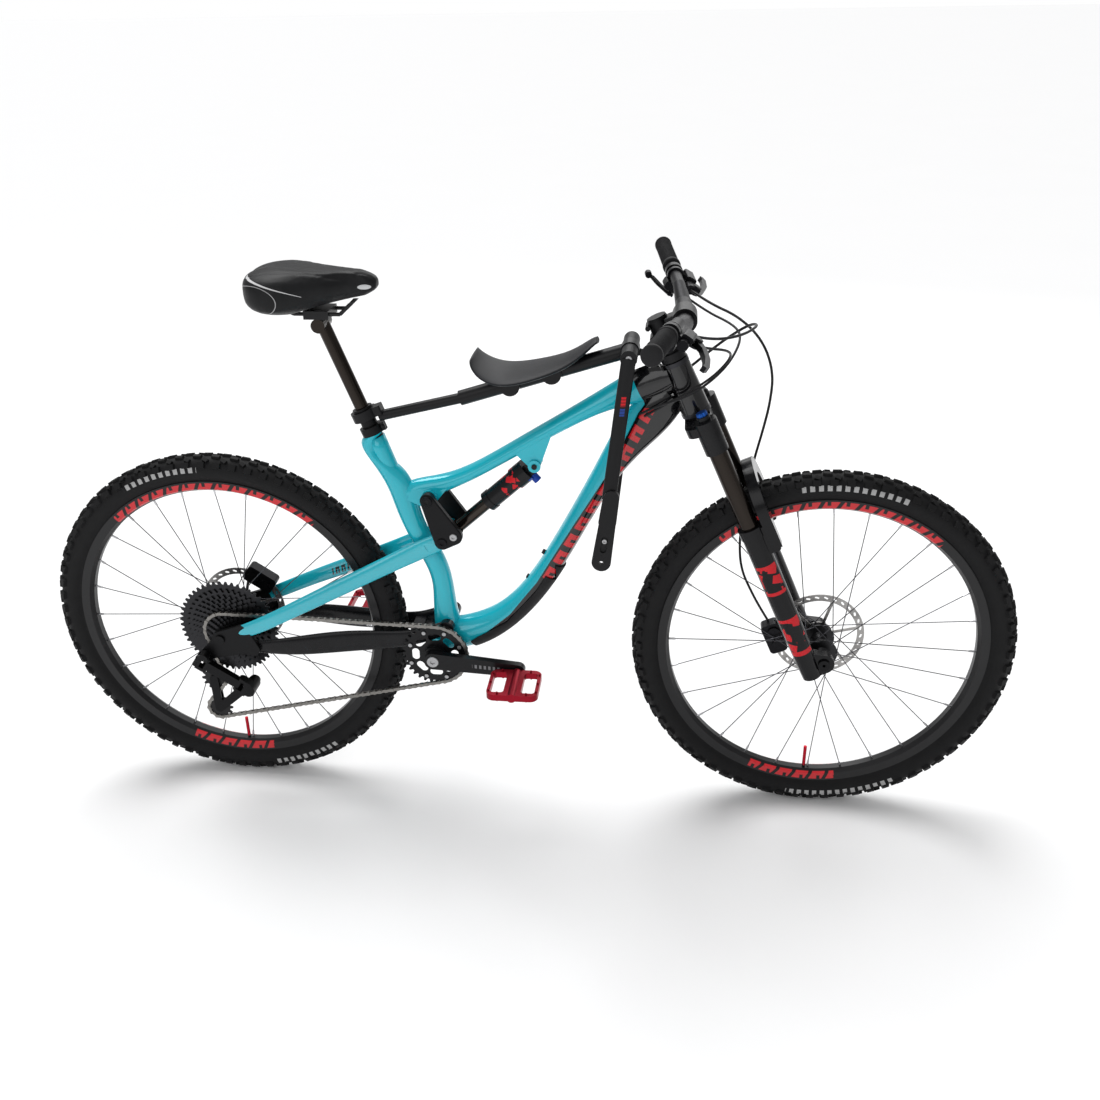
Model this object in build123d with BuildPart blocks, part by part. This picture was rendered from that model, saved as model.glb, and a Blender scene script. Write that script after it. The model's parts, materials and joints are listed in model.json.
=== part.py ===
"""Full-suspension mountain bike with a child carrier fitted over the top tube.

Row frame, millimetres: +X forward, +Y to the rider's left, +Z up. The origin is on
the ground, midway between the wheel axles, on the centre plane.
"""
import os
from math import acos, asin, atan2, cos, degrees, pi, radians, sin, sqrt, tan

from build123d import *

os.makedirs("parts", exist_ok=True)

# driving dimensions
wheel_radius = 370
tyre_section = 29.5
wheelbase = 1196
head_angle = 66
fork_offset = 44
leg_offset = 15
leg_spread = 66
crank_length = 171
chain_plane = -50
chain_pitch = 12.7
cog_spacing = 3.65
hub_half_front = 55
hub_half_rear = 74
rotor_radius = 90
axle_bore = 3
running = 0.05
gap = 0.3

# places, as (x, z) on the centre plane
rear_axle_at = (-wheelbase / 2, wheel_radius)
front_axle_at = (wheelbase / 2, wheel_radius)
bracket_at = (-164, 338)
main_pivot_at = (-140, 395)
horst_pivot_at = (-531.6, 349.6)
stay_pivot_at = (-136.7, 587.2)
rocker_pivot_at = (-160.8, 673.2)
shock_eye_at = (-114, 600.5)
shock_mount_at = (42, 741)
cage_pivot_at = (-565, 273)
guide_wheel_at = (-638, 256)
tension_wheel_at = (-636, 184)
seat_tube_top_at = (-260.7, 782)
carrier_hub_at = (216, 962)

# directions
steer_up = Vector(-cos(radians(head_angle)), 0, sin(radians(head_angle)))
steer_ahead = Vector(sin(radians(head_angle)), 0, cos(radians(head_angle)))
steer_foot = Vector(front_axle_at[0], 0, front_axle_at[1]) - steer_ahead * fork_offset
post_up = Vector(-0.3453, 0, 0.9385)
leftward = Vector(0, 1, 0)


def side_plane(y, x=0, z=0):
    """Plane facing the drive side, local x forward and local y up."""
    return Plane(origin=(x, y, z), x_dir=(1, 0, 0), z_dir=(0, -1, 0))


def steer_point(up, ahead=0, y=0):
    return steer_foot + steer_up * up + steer_ahead * ahead + leftward * y


def steer_plane(up, ahead=0, y=0):
    """Plane across the steering axis, local x ahead and local y to the left."""
    return Plane(origin=steer_point(up, ahead, y), x_dir=steer_ahead, z_dir=steer_up)


def post_plane(up):
    start = Vector(seat_tube_top_at[0], 0, seat_tube_top_at[1])
    return Plane(origin=start + post_up * up, x_dir=leftward, z_dir=post_up)


def shock_plane(along):
    """Plane across the shock, measured from its lower eye towards its upper eye."""
    start = Vector(shock_eye_at[0], 0, shock_eye_at[1])
    end = Vector(shock_mount_at[0], 0, shock_mount_at[1])
    direction = (end - start).normalized()
    return Plane(origin=start + direction * along, x_dir=leftward, z_dir=direction)


def wheel_plane(centre):
    """Plane through a wheel's axle, local x radial and local y towards the drive side."""
    return Plane(origin=(centre[0], 0, centre[1]), x_dir=(0, 0, 1), z_dir=(1, 0, 0))


def axle_line(centre):
    return Axis((centre[0], 0, centre[1]), (0, 1, 0))


def lofted_tube(stations):
    """Smooth tube through elliptical stations (x, y, z, pitch, width, height)."""
    with BuildPart() as tube:
        for x, y, z, pitch, width, height in stations:
            heading = (cos(radians(pitch)), 0, sin(radians(pitch)))
            with BuildSketch(Plane(origin=(x, y, z), x_dir=(0, 1, 0), z_dir=heading)):
                Ellipse(width / 2, height / 2)
        loft()
    return tube.part


def cross_pin(centre, radius, y_from, y_to):
    """Solid cylinder across the bike, between two y values."""
    with BuildPart() as pin:
        with BuildSketch(side_plane(y_to, *centre)):
            Circle(radius)
        extrude(amount=y_to - y_from)
    return pin.part


def cross_ring(centre, outer, inner, y_from, y_to):
    with BuildPart() as ring:
        with BuildSketch(side_plane(y_to, *centre)):
            Circle(outer)
            Circle(inner, mode=Mode.SUBTRACT)
        extrude(amount=y_to - y_from)
    return ring.part


def both_sides(shape):
    return [shape, mirror(shape, about=Plane.XZ)]


def rod(start, end, radius):
    """Straight round bar between two points."""
    start = Vector(*start)
    end = Vector(*end)
    with BuildPart() as bar:
        with BuildSketch(Plane(origin=start, z_dir=end - start)):
            Circle(radius)
        extrude(amount=(end - start).length)
    return bar.part


def corner_radii(points):
    """Largest arc that each corner's two runs allow: 0.45 of the shorter run."""
    radii = []
    for before, corner, after in zip(points, points[1:], points[2:]):
        run_in = Vector(*corner) - Vector(*before)
        run_out = Vector(*after) - Vector(*corner)
        turn = radians(run_in.get_angle(run_out))
        radii.append(0.45 * min(run_in.length, run_out.length) / tan(turn / 2))
    return radii


def hose(name, points, radius):
    """Round hose along straight runs joined by tangent arcs."""
    radii = corner_radii(points)
    print(name, "radii", [round(value) for value in radii])
    with BuildPart() as tube:
        with BuildLine() as route:
            FilletPolyline(*points, radius=radii)
        with BuildSketch(Plane(origin=route.line @ 0, z_dir=route.line % 0)):
            Circle(radius)
        sweep()
    route_length = sum(edge.length for edge in route.edges())
    share = tube.part.volume / (pi * radius**2 * route_length)
    print(name, "volume over section times length", round(share, 4))
    return tube.part


def pitch_radius(teeth):
    return chain_pitch / 2 / sin(pi / teeth)


def sprocket(centre, teeth, bore, y, thickness=1.8):
    """Toothed disc across the bike, centred on y."""
    root = pitch_radius(teeth) - 3.8
    tip = pitch_radius(teeth) + 2.8
    outline = []
    for tooth in range(teeth):
        for share, radius in ((-0.36, root), (-0.14, tip), (0.14, tip), (0.36, root)):
            angle = 2 * pi * (tooth + share) / teeth
            outline.append((radius * cos(angle), radius * sin(angle)))
    with BuildPart() as disc:
        with BuildSketch(side_plane(y, *centre)):
            Polygon(*outline, align=None)
            Circle(bore, mode=Mode.SUBTRACT)
        extrude(amount=thickness / 2, both=True)
    return disc.part


# ---- front triangle and what is bolted to it
seat_tube = lofted_tube([
    (-264, 0, 791, -70, 41, 41),
    (-236, 0, 714, -70, 41, 44),
    (-208, 0, 636, -71, 41, 46),
    (-187, 0, 578, -66, 40, 42),
    (-161, 0, 522, -66, 40, 42),
    (-150, 0, 470, -86, 42, 42),
    (-147, 0, 410, -92, 50, 50),
    (-152, 0, 350, -98, 54, 56),
])
top_tube = lofted_tube([
    (-214, 0, 664, 60, 34, 34),
    (-186, 0, 681, 30, 40, 38),
    (-150, 0, 690, 22, 43, 36),
    (-110, 0, 704, 26, 44, 31),
    (-45, 0, 738, 31, 42, 28),
    (35, 0, 787, 32, 42, 29),
    (110, 0, 832, 30, 44, 32),
    (175, 0, 868, 27, 46, 42),
    (235, 0, 894, 27, 46, 62),
    (288, 0, 913, 24, 44, 56),
])
down_tube_stations = [
    (-164, 0, 348, 8, 62, 62),
    (-100, 0, 371, 28, 62, 66),
    (-36, 0, 404, 38, 60, 54),
    (22, 0, 461, 53, 58, 47),
    (75, 0, 541, 59, 56, 45),
    (129, 0, 641, 61, 56, 44),
    (170, 0, 717, 60, 54, 48),
    (214, 0, 787, 54, 50, 66),
    (262, 0, 848, 48, 48, 78),
    (292, 0, 880, 46, 40, 60),
]
down_tube = lofted_tube(down_tube_stations)
bolt_spots = ((19, 517), (-12, 462))
boss_ahead = Vector(cos(radians(118)), 0, sin(radians(118)))
upper_boss_at = (60, 550)
boss_line = Vector(cos(radians(60)), 0, sin(radians(60)))


def boss_plane(index):
    """Face of a bottle boss on the upper side of the down tube, 64 mm apart."""
    start = Vector(upper_boss_at[0], 0, upper_boss_at[1])
    face = Vector(-sin(radians(60)), 0, cos(radians(60)))
    return Plane(origin=start - boss_line * 64 * index + face * 10, x_dir=leftward, z_dir=face)


with BuildPart() as front_triangle:
    add(seat_tube)
    add(top_tube)
    add(down_tube)
    with BuildSketch(steer_plane(549)):
        Circle(27)
    with BuildSketch(steer_plane(640)):
        Circle(24)
    loft()
    add(cross_pin(bracket_at, 24, -37, 37))
    add(cross_pin(main_pivot_at, 14, -28, 28))
    with BuildSketch(side_plane(20)):
        with BuildLine():
            Polyline((-206, 664), (-180, 652), (-148, 662), (-126, 690), (-150, 694), (-196, 684), close=True)
        make_face()
    extrude(amount=40)
    with BuildSketch(side_plane(19)):
        with BuildLine():
            Polyline((2, 768), (29, 741), (53, 741), (74, 800), (60, 806), close=True)
        make_face()
    extrude(amount=38)
    add(cross_pin(shock_mount_at, 12, -24, 24))
    add(cross_pin(rocker_pivot_at, 14, -27, 27))
    # room for the shock's head between the two ears
    with BuildSketch(shock_plane(150)):
        RectangleRounded(25, 50, 8)
    extrude(amount=74, mode=Mode.SUBTRACT)
    # bores for the steerer, seatpost, bracket spindle and pivots
    with BuildSketch(steer_plane(535)):
        Circle(15.5)
    extrude(amount=120, mode=Mode.SUBTRACT)
    with BuildSketch(post_plane(-152)):
        Circle(15.5)
    extrude(amount=170, mode=Mode.SUBTRACT)
    add(cross_pin(bracket_at, 16.5, -60, 60), mode=Mode.SUBTRACT)
    add(cross_pin(main_pivot_at, 7.5, -60, 60), mode=Mode.SUBTRACT)
    add(cross_pin(rocker_pivot_at, 6, -60, 60), mode=Mode.SUBTRACT)
    add(cross_pin(shock_mount_at, 5, -60, 60), mode=Mode.SUBTRACT)
    # room for the chainstay's eyes and for the headset's cups
    for eye_side in both_sides(cross_pin(main_pivot_at, 18, 28, 60)):
        add(eye_side, mode=Mode.SUBTRACT)
    for up_from, up_to in ((510, 549), (640, 690)):
        with BuildSketch(steer_plane(up_from)):
            Circle(30)
        extrude(amount=up_to - up_from, mode=Mode.SUBTRACT)
    for index in range(2):
        with BuildSketch(boss_plane(index)):
            Circle(5)
        extrude(amount=-20, mode=Mode.SUBTRACT)
front_triangle.part.label = "front_triangle"
export_step(front_triangle.part, "parts/front_triangle.step")
print("front_triangle solids", len(front_triangle.part.solids()))

guard_skin = lofted_tube([(x, y, z, pitch, w + 7, h + 7) for x, y, z, pitch, w, h in down_tube_stations[1:5]])
with BuildPart() as down_tube_guard:
    add(guard_skin)
    with BuildSketch(side_plane(80)):
        with BuildLine():
            Polyline((-130, 330), (-80, 372), (-20, 408), (40, 480), (60, 515), (80, 500), (80, 560), (-160, 560))
            Line((-160, 560), (-160, 330))
            Line((-160, 330), (-130, 330))
        make_face()
    extrude(amount=160, mode=Mode.SUBTRACT)
    add(front_triangle.part, mode=Mode.SUBTRACT)
down_tube_guard.part.label = "down_tube_guard"
export_step(down_tube_guard.part, "parts/down_tube_guard.step")
print("guard solids", len(down_tube_guard.part.solids()))

with BuildPart() as frame_bearings:
    with BuildSketch(steer_plane(541.5)):
        Circle(27.5)
        Circle(14.3 + running, mode=Mode.SUBTRACT)
    extrude(amount=7.5)
    with BuildSketch(steer_plane(640)):
        Circle(24.5)
        Circle(14.3 + running, mode=Mode.SUBTRACT)
    extrude(amount=8)
    for cup in both_sides(cross_ring(bracket_at, 22, 15 + running, 37, 44)):
        add(cup)
frame_bearings.part.label = "frame_bearings"
export_step(frame_bearings.part, "parts/frame_bearings.step")

with BuildPart() as seat_clamp:
    with BuildSketch(post_plane(10)):
        Circle(21.5)
        with Locations((0, -22)):
            Rectangle(12, 12)
        Circle(15.45, mode=Mode.SUBTRACT)
        with Locations((0, -23)):
            Rectangle(2, 18, mode=Mode.SUBTRACT)
    extrude(amount=16)
    bolt_spot = post_plane(18).from_local_coords((0, -24, 0))
    with BuildSketch(Plane(origin=bolt_spot, x_dir=(1, 0, 0), z_dir=leftward)):
        Circle(3)
    extrude(amount=9, both=True)
seat_clamp.part.label = "seat_clamp"
export_step(seat_clamp.part, "parts/seat_clamp.step")

post_travel = 150
with BuildPart() as dropper_outer:
    with BuildSketch(post_plane(-150)):
        Circle(15.45)
        Circle(13 + running, mode=Mode.SUBTRACT)
    extrude(amount=190)
    with BuildSketch(post_plane(39.9)):
        Circle(19)
        Circle(13 + running, mode=Mode.SUBTRACT)
    extrude(amount=24)
    chamfer(dropper_outer.edges().filter_by(GeomType.CIRCLE).sort_by(Axis.Z)[-1], 0.5)
dropper_outer.part.label = "dropper_outer"
export_step(dropper_outer.part, "parts/dropper_outer.step")

with BuildPart() as frame_fittings:
    add(cross_pin(main_pivot_at, 7.5, -47, 47))
    add(cross_pin(rocker_pivot_at, 6, -49, 49))
    add(cross_pin(shock_mount_at, 5, -27, 27))
    for index in range(2):
        with BuildSketch(boss_plane(index)):
            Circle(5)
            Circle(2.5, mode=Mode.SUBTRACT)
        extrude(amount=-20)
frame_fittings.part.label = "frame_fittings"
export_step(frame_fittings.part, "parts/frame_fittings.step")

# ---- child carrier: beam from the seatpost to the headset, small saddle, stirrup legs
beam_back = Vector(-250, 0, 826)
beam_step = Vector(-95, 0, 864)
beam_front = Vector(carrier_hub_at[0] - 10, 0, carrier_hub_at[1] - 4)
with BuildPart() as carrier_clamps:
    with BuildSketch(post_plane(41)):
        Circle(25)
        with Locations((0, -26)):
            RectangleRounded(26, 20, 4)
        Circle(19 + 0.02, mode=Mode.SUBTRACT)
    extrude(amount=18)
    with BuildSketch(steer_plane(650)):
        Circle(23)
        Circle(14.4, mode=Mode.SUBTRACT)
    extrude(amount=14)
    add(rod((carrier_hub_at[0], 0, carrier_hub_at[1]), (270, 0, 946), 6.5))
    with BuildSketch(side_plane(15, *carrier_hub_at)):
        Circle(17)
    extrude(amount=30)
    with BuildSketch(steer_plane(640)):
        Circle(14.4)
    extrude(amount=40, mode=Mode.SUBTRACT)
    for up_from, up_to in ((640, 650), (664, 692)):
        with BuildSketch(steer_plane(up_from)):
            Circle(18)
        extrude(amount=up_to - up_from, mode=Mode.SUBTRACT)
carrier_clamps.part.label = "carrier_clamps"
export_step(carrier_clamps.part, "parts/carrier_clamps.step")
print("carrier_clamps solids", len(carrier_clamps.part.solids()))

with BuildPart() as carrier_beam:
    add(rod(beam_back, beam_step, 10))
    add(rod(beam_step, beam_front, 14))
    for x in (0, 76):
        along = (x - beam_step.X) / (beam_front.X - beam_step.X)
        middle = beam_step + (beam_front - beam_step) * along
        with BuildSketch(Plane(origin=middle - leftward * 20, x_dir=(1, 0, 0.25), z_dir=leftward)):
            Circle(18)
        extrude(amount=40)
    add(carrier_clamps.part, mode=Mode.SUBTRACT)
carrier_beam.part.label = "carrier_beam"
export_step(carrier_beam.part, "parts/carrier_beam.step")
print("carrier_beam solids", len(carrier_beam.part.solids()))

with BuildPart() as child_saddle:
    for x, z, pitch, half_width, thick in (
        (-66, 948, -52, 42, 9),
        (-52, 928, -48, 62, 14),
        (-20, 914, -14, 70, 17),
        (30, 917, 12, 66, 18),
        (80, 931, 20, 54, 17),
        (125, 954, 30, 38, 14),
        (158, 978, 38, 18, 9),
    ):
        heading = (cos(radians(pitch)), 0, sin(radians(pitch)))
        with BuildSketch(Plane(origin=(x, 0, z), x_dir=(0, 1, 0), z_dir=heading)):
            Ellipse(half_width, thick / 2)
    loft()
    add(carrier_beam.part, mode=Mode.SUBTRACT)
child_saddle.part.label = "child_saddle"
export_step(child_saddle.part, "parts/child_saddle.step")
print("child_saddle solids", len(child_saddle.part.solids()))

leg_foot = Vector(172, 90, 600)
with BuildPart() as leg_left:
    with BuildSketch(side_plane(62, *carrier_hub_at)):
        Circle(15)
    extrude(amount=62 - 15.3)
    with BuildSketch(Plane(origin=(carrier_hub_at[0], 58, carrier_hub_at[1]), x_dir=(1, 0, 0),
                           z_dir=(leg_foot.X - 216, leg_foot.Y - 58, leg_foot.Z - 962))):
        Ellipse(13, 8)
    extrude(amount=260)
    with BuildSketch(side_plane(92)):
        with Locations((190, 712)):
            Circle(14)
        with Locations((172, 581)):
            Circle(18)
        make_hull()
        with Locations((177, 618)):
            SlotOverall(34, 12, rotation=82, mode=Mode.SUBTRACT)
        with Locations((172, 580)):
            Circle(4, mode=Mode.SUBTRACT)
    extrude(amount=10)
leg_left.part.label = "leg_left"
export_step(leg_left.part, "parts/leg_left.step")
print("leg solids", len(leg_left.part.solids()), leg_left.part.bounding_box())

with BuildPart() as leg_right:
    add(mirror(leg_left.part, about=Plane.XZ))
leg_right.part.label = "leg_right"
export_step(leg_right.part, "parts/leg_right.step")

# ---- steering assembly
fork_travel = 140
with BuildPart() as fork_crown:
    with BuildSketch(steer_plane(522)):
        SlotCenterToCenter(2 * leg_spread - 20, 48, rotation=90)
    extrude(amount=17)
    for y in (-leg_spread, leg_spread):
        with BuildSketch(steer_plane(482, leg_offset, y)):
            Circle(21.5)
        extrude(amount=62)
    with BuildSketch(steer_plane(539)):
        Circle(25)
    extrude(amount=2)
    with BuildSketch(steer_plane(522)):
        Circle(14.3)
    extrude(amount=206)
    for y in (-leg_spread, leg_spread):
        with BuildSketch(steer_plane(480, leg_offset, y)):
            Circle(17)
        extrude(amount=60, mode=Mode.SUBTRACT)
    # adjuster knob and air cap over the legs
    for y in (-leg_spread, leg_spread):
        with BuildSketch(steer_plane(544, leg_offset, y)):
            Circle(12)
        extrude(amount=9)
fork_crown.part.label = "fork_crown"
export_step(fork_crown.part, "parts/fork_crown.step")

with BuildPart() as fork_stanchions:
    for y in (-leg_spread, leg_spread):
        with BuildSketch(steer_plane(160, leg_offset, y)):
            Circle(17)
            Circle(14.5, mode=Mode.SUBTRACT)
        extrude(amount=380)
fork_stanchions.part.label = "fork_stanchions"
export_step(fork_stanchions.part, "parts/fork_stanchions.step")

stem_clamp_at = steer_point(711, 45)
with BuildPart() as stem:
    with BuildSketch(steer_plane(690)):
        Circle(18.5)
    extrude(amount=40)
    with BuildSketch(Plane(origin=steer_point(711, 12), x_dir=leftward, z_dir=steer_ahead)):
        RectangleRounded(36, 30, 6)
    extrude(amount=30)
    with BuildSketch(side_plane(26, stem_clamp_at.X, stem_clamp_at.Z)):
        Circle(22)
    extrude(amount=52)
    with BuildSketch(side_plane(26, stem_clamp_at.X, stem_clamp_at.Z)):
        Circle(16)
    extrude(amount=52, mode=Mode.SUBTRACT)
    # spacers under the stem, outside the carrier's ring
    with BuildSketch(steer_plane(664)):
        Circle(17.5)
    extrude(amount=26)
    with BuildSketch(steer_plane(648)):
        Circle(17.5)
    extrude(amount=2)
    with BuildSketch(steer_plane(640)):
        Circle(14.3)
    extrude(amount=90, mode=Mode.SUBTRACT)
    with BuildSketch(steer_plane(730)):
        Circle(17.5)
    extrude(amount=3)
    for up in (700, 721):
        bolt = Plane(origin=steer_point(up, -20), x_dir=steer_ahead, z_dir=leftward)
        with BuildSketch(bolt):
            Circle(4.5)
        extrude(amount=16, both=True)
    with BuildSketch(steer_plane(640)):
        Circle(14.3)
    extrude(amount=88, mode=Mode.SUBTRACT)
stem.part.label = "stem"
export_step(stem.part, "parts/stem.step")
print("stem solids", len(stem.part.solids()))

bar_half = 378
bar_end = Vector(263, bar_half, 1066)
bar_bend = Vector(297, 140, 1045)
bar_out = (bar_end - bar_bend).normalized()


def bar_point(y):
    return bar_bend + bar_out * ((y - bar_bend.Y) / bar_out.Y)


bar_front = bar_out.cross(Vector(0, 0, 1)).normalized()


with BuildPart() as bar_side:
    for y, back, rise, radius in ((0, 0, 0, 15.9), (30, 0, 0, 15.9), (75, 2.7, 4, 15)):
        centre = (stem_clamp_at.X - back, y, stem_clamp_at.Z + rise)
        with BuildSketch(Plane(origin=centre, x_dir=(1, 0, 0), z_dir=leftward)):
            Circle(radius)
    for y, radius in ((130, 11.4), (165, 11.1), (240, 11.1), (bar_half, 11.1)):
        with BuildSketch(Plane(origin=bar_point(y), x_dir=bar_front, z_dir=bar_out)):
            Circle(radius)
    loft(ruled=True)
with BuildPart() as handlebar:
    add(bar_side.part)
    add(mirror(bar_side.part, about=Plane.XZ))
handlebar.part.label = "handlebar"
export_step(handlebar.part, "parts/handlebar.step")
print("handlebar solids", len(handlebar.part.solids()))

with BuildPart() as grip_left:
    with BuildSketch(Plane(origin=bar_point(250), x_dir=bar_front, z_dir=bar_out)):
        Circle(16)
    extrude(amount=132)
    with BuildSketch(Plane(origin=bar_point(238), x_dir=bar_front, z_dir=bar_out)):
        Circle(17)
    extrude(amount=12)
    add(handlebar.part, mode=Mode.SUBTRACT)
with BuildPart() as grips:
    add(grip_left.part)
    add(mirror(grip_left.part, about=Plane.XZ))
grips.part.label = "grips"
export_step(grips.part, "parts/grips.step")

# controls: local x points ahead and down from the bar, y runs outboard, z is up
lever_drop = 32
lever_ahead = Vector(cos(radians(lever_drop)), 0, -sin(radians(lever_drop)))


def lever_plane(y, ahead, lift=0):
    """Plane across the left half of the bar, its normal running outboard."""
    lift_way = lever_ahead.cross(bar_out)
    return Plane(origin=bar_point(y) + lever_ahead * ahead + lift_way * lift, x_dir=lever_ahead, z_dir=bar_out)


blade_pivot = lever_plane(172, 44).origin
blade_axis = lever_ahead.cross(bar_out).normalized()
with BuildPart() as lever_body_left:
    with BuildSketch(lever_plane(203, 0)):
        Circle(16.5)
    extrude(amount=14)
    with BuildSketch(lever_plane(203, 15)):
        Rectangle(22, 14)
    extrude(amount=14)
    with BuildSketch(lever_plane(150, 28)):
        Circle(9)
    extrude(amount=90)
    with BuildSketch(lever_plane(178, 28, 8)):
        RectangleRounded(20, 14, 4)
    extrude(amount=46)
    for lift in (-9, 5.3):
        with BuildSketch(Plane(origin=blade_pivot + blade_axis * lift, x_dir=lever_ahead, z_dir=blade_axis)):
            with BuildLine():
                Polyline((-18, -12), (0, -8), (7, 0), (0, 8), (-18, 12), close=True)
            make_face()
        extrude(amount=3.7)
    with BuildSketch(Plane(origin=blade_pivot - blade_axis * 9, x_dir=lever_ahead, z_dir=blade_axis)):
        Circle(2.5)
    extrude(amount=18)
    add(handlebar.part, mode=Mode.SUBTRACT)
with BuildPart() as brake_lever_bodies:
    add(lever_body_left.part)
    add(mirror(lever_body_left.part, about=Plane.XZ))
brake_lever_bodies.part.label = "brake_lever_bodies"
export_step(brake_lever_bodies.part, "parts/brake_lever_bodies.step")
print("brake_lever_bodies solids", len(brake_lever_bodies.part.solids()))

with BuildPart() as brake_blade_left:
    with BuildSketch(Plane(origin=blade_pivot - blade_axis * 5, x_dir=lever_ahead, z_dir=blade_axis)):
        with BuildLine():
            Polyline((-5, -6), (7, -6), (17, 20), (22, 60), (20, 106), (14, 118))
            Polyline((14, 118), (7, 116), (11, 104), (12, 62), (7, 26), (-5, 8), (-5, -6))
        make_face()
        Circle(2.5 + running, mode=Mode.SUBTRACT)
    extrude(amount=10)
    fillet(brake_blade_left.edges().filter_by(Plane(origin=(0, 0, 0), z_dir=blade_axis)).sort_by_distance(
        lever_plane(260, 64).origin)[0:2], 2)
brake_blade_left.part.label = "brake_blade_left"
export_step(brake_blade_left.part, "parts/brake_blade_left.step")
with BuildPart() as brake_blade_right:
    add(mirror(brake_blade_left.part, about=Plane.XZ))
brake_blade_right.part.label = "brake_blade_right"
export_step(brake_blade_right.part, "parts/brake_blade_right.step")

# trigger shifter on the right and dropper remote on the left, inboard of the brakes
trigger_lift = -20
shift_pivot = lever_plane(182, 8, trigger_lift - 10).origin
with BuildPart() as trigger_left:
    with BuildSketch(lever_plane(186, 0)):
        Circle(15.5)
    extrude(amount=9)
    with BuildSketch(lever_plane(174, 4, trigger_lift)):
        RectangleRounded(30, 16, 5)
    extrude(amount=30)
    with BuildSketch(lever_plane(186, 0, -13)):
        Rectangle(14, 10)
    extrude(amount=9)
    with BuildSketch(Plane(origin=shift_pivot - blade_axis * 8, x_dir=lever_ahead, z_dir=blade_axis)):
        Circle(3)
    extrude(amount=12)
    add(handlebar.part, mode=Mode.SUBTRACT)
with BuildPart() as shifter_bodies:
    add(trigger_left.part)
    add(mirror(trigger_left.part, about=Plane.XZ))
shifter_bodies.part.label = "shifter_bodies"
export_step(shifter_bodies.part, "parts/shifter_bodies.step")
print("shifter_bodies solids", len(shifter_bodies.part.solids()))

with BuildPart() as dropper_lever:
    with BuildSketch(Plane(origin=shift_pivot - blade_axis * 6, x_dir=lever_ahead, z_dir=blade_axis)):
        with BuildLine():
            Polyline((-6, -7), (7, -7), (7, 7), (-18, 20), (-38, 46))
            Polyline((-38, 46), (-47, 41), (-29, 12), (-6, -7))
        make_face()
        Circle(3 + running, mode=Mode.SUBTRACT)
    extrude(amount=5)
    knob = Plane(origin=shift_pivot - blade_axis * 3.5 - lever_ahead * 42, z_dir=bar_out)
    with BuildSketch(Plane(origin=knob.origin + bar_out * 38, x_dir=lever_ahead, z_dir=bar_out)):
        Circle(6.5)
    extrude(amount=13)
dropper_lever.part.label = "dropper_lever"
export_step(dropper_lever.part, "parts/dropper_lever.step")
print("dropper_lever solids", len(dropper_lever.part.solids()))

with BuildPart() as shift_lever:
    with BuildSketch(Plane(origin=shift_pivot - blade_axis * 6, x_dir=lever_ahead, z_dir=blade_axis)):
        with BuildLine():
            Polyline((-6, -7), (7, -7), (7, 7), (-8, 18), (-16, 34), (-30, 40))
            Polyline((-30, 40), (-34, 30), (-24, 14), (-6, -7))
        make_face()
        Circle(3 + running, mode=Mode.SUBTRACT)
    extrude(amount=5)
shift_lever_left = shift_lever.part
with BuildPart() as shift_lever:
    add(mirror(shift_lever_left, about=Plane.XZ))
shift_lever.part.label = "shift_lever"
export_step(shift_lever.part, "parts/shift_lever.step")

# ---- fork lowers, their axle and brake
seal_height = 322
with BuildPart() as fork_lowers:
    for y in (-leg_spread, leg_spread):
        with BuildSketch(steer_plane(-20, leg_offset, y)):
            Circle(19)
        with BuildSketch(steer_plane(50, leg_offset, y)):
            Circle(20.5)
        with BuildSketch(steer_plane(170, leg_offset, y)):
            Circle(21.5)
        loft()
        with BuildSketch(steer_plane(170, leg_offset, y)):
            Circle(21.5)
        extrude(amount=seal_height - 190)
        with BuildSketch(steer_plane(seal_height - 20, leg_offset, y)):
            Circle(23)
        extrude(amount=20)
        # dropout plate that carries the axle ahead of the leg
        outer = hub_half_front + 20 if y > 0 else -hub_half_front
        with BuildSketch(side_plane(outer)):
            with Locations(front_axle_at):
                Circle(20)
            with Locations((steer_point(22, leg_offset).X, steer_point(22, leg_offset).Z)):
                Circle(15)
            with Locations((steer_point(-8, leg_offset).X, steer_point(-8, leg_offset).Z)):
                Circle(13)
            make_hull()
        extrude(amount=20)
        with BuildSketch(steer_plane(262, 30, y)):
            RectangleRounded(48, 26, 8)
        extrude(amount=56)
    # arch over the tyre, ahead of the legs
    with BuildSketch(Plane(origin=steer_point(0, 38), x_dir=leftward, z_dir=steer_ahead)):
        with BuildLine():
            Polyline((79, 268), (82, 322))
            Spline((82, 322), (66, 386), (0, 419), (-66, 386), (-82, 322))
            Polyline((-82, 322), (-79, 268), (-53, 268), (-48, 322))
            Spline((-48, 322), (-38, 368), (0, 388), (38, 368), (48, 322))
            Polyline((48, 322), (53, 268), (79, 268))
        make_face()
    extrude(amount=20)
    for y in (-leg_spread, leg_spread):
        with BuildSketch(steer_plane(15, leg_offset, y)):
            Circle(17 + running)
        extrude(amount=360, mode=Mode.SUBTRACT)
    add(cross_pin(front_axle_at, 7.5, -90, 90), mode=Mode.SUBTRACT)
fork_lowers.part.label = "fork_lowers"
export_step(fork_lowers.part, "parts/fork_lowers.step")
print("fork_lowers solids", len(fork_lowers.part.solids()))

with BuildPart() as front_axle:
    add(cross_pin(front_axle_at, 7.5, -78, 78))
    add(cross_pin(front_axle_at, 11, -80, -75.1))
    add(cross_pin(front_axle_at, axle_bore, -90, 90), mode=Mode.SUBTRACT)
front_axle.part.label = "front_axle"
export_step(front_axle.part, "parts/front_axle.step")

front_rotor_y = 40
rear_rotor_y = 60


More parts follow.
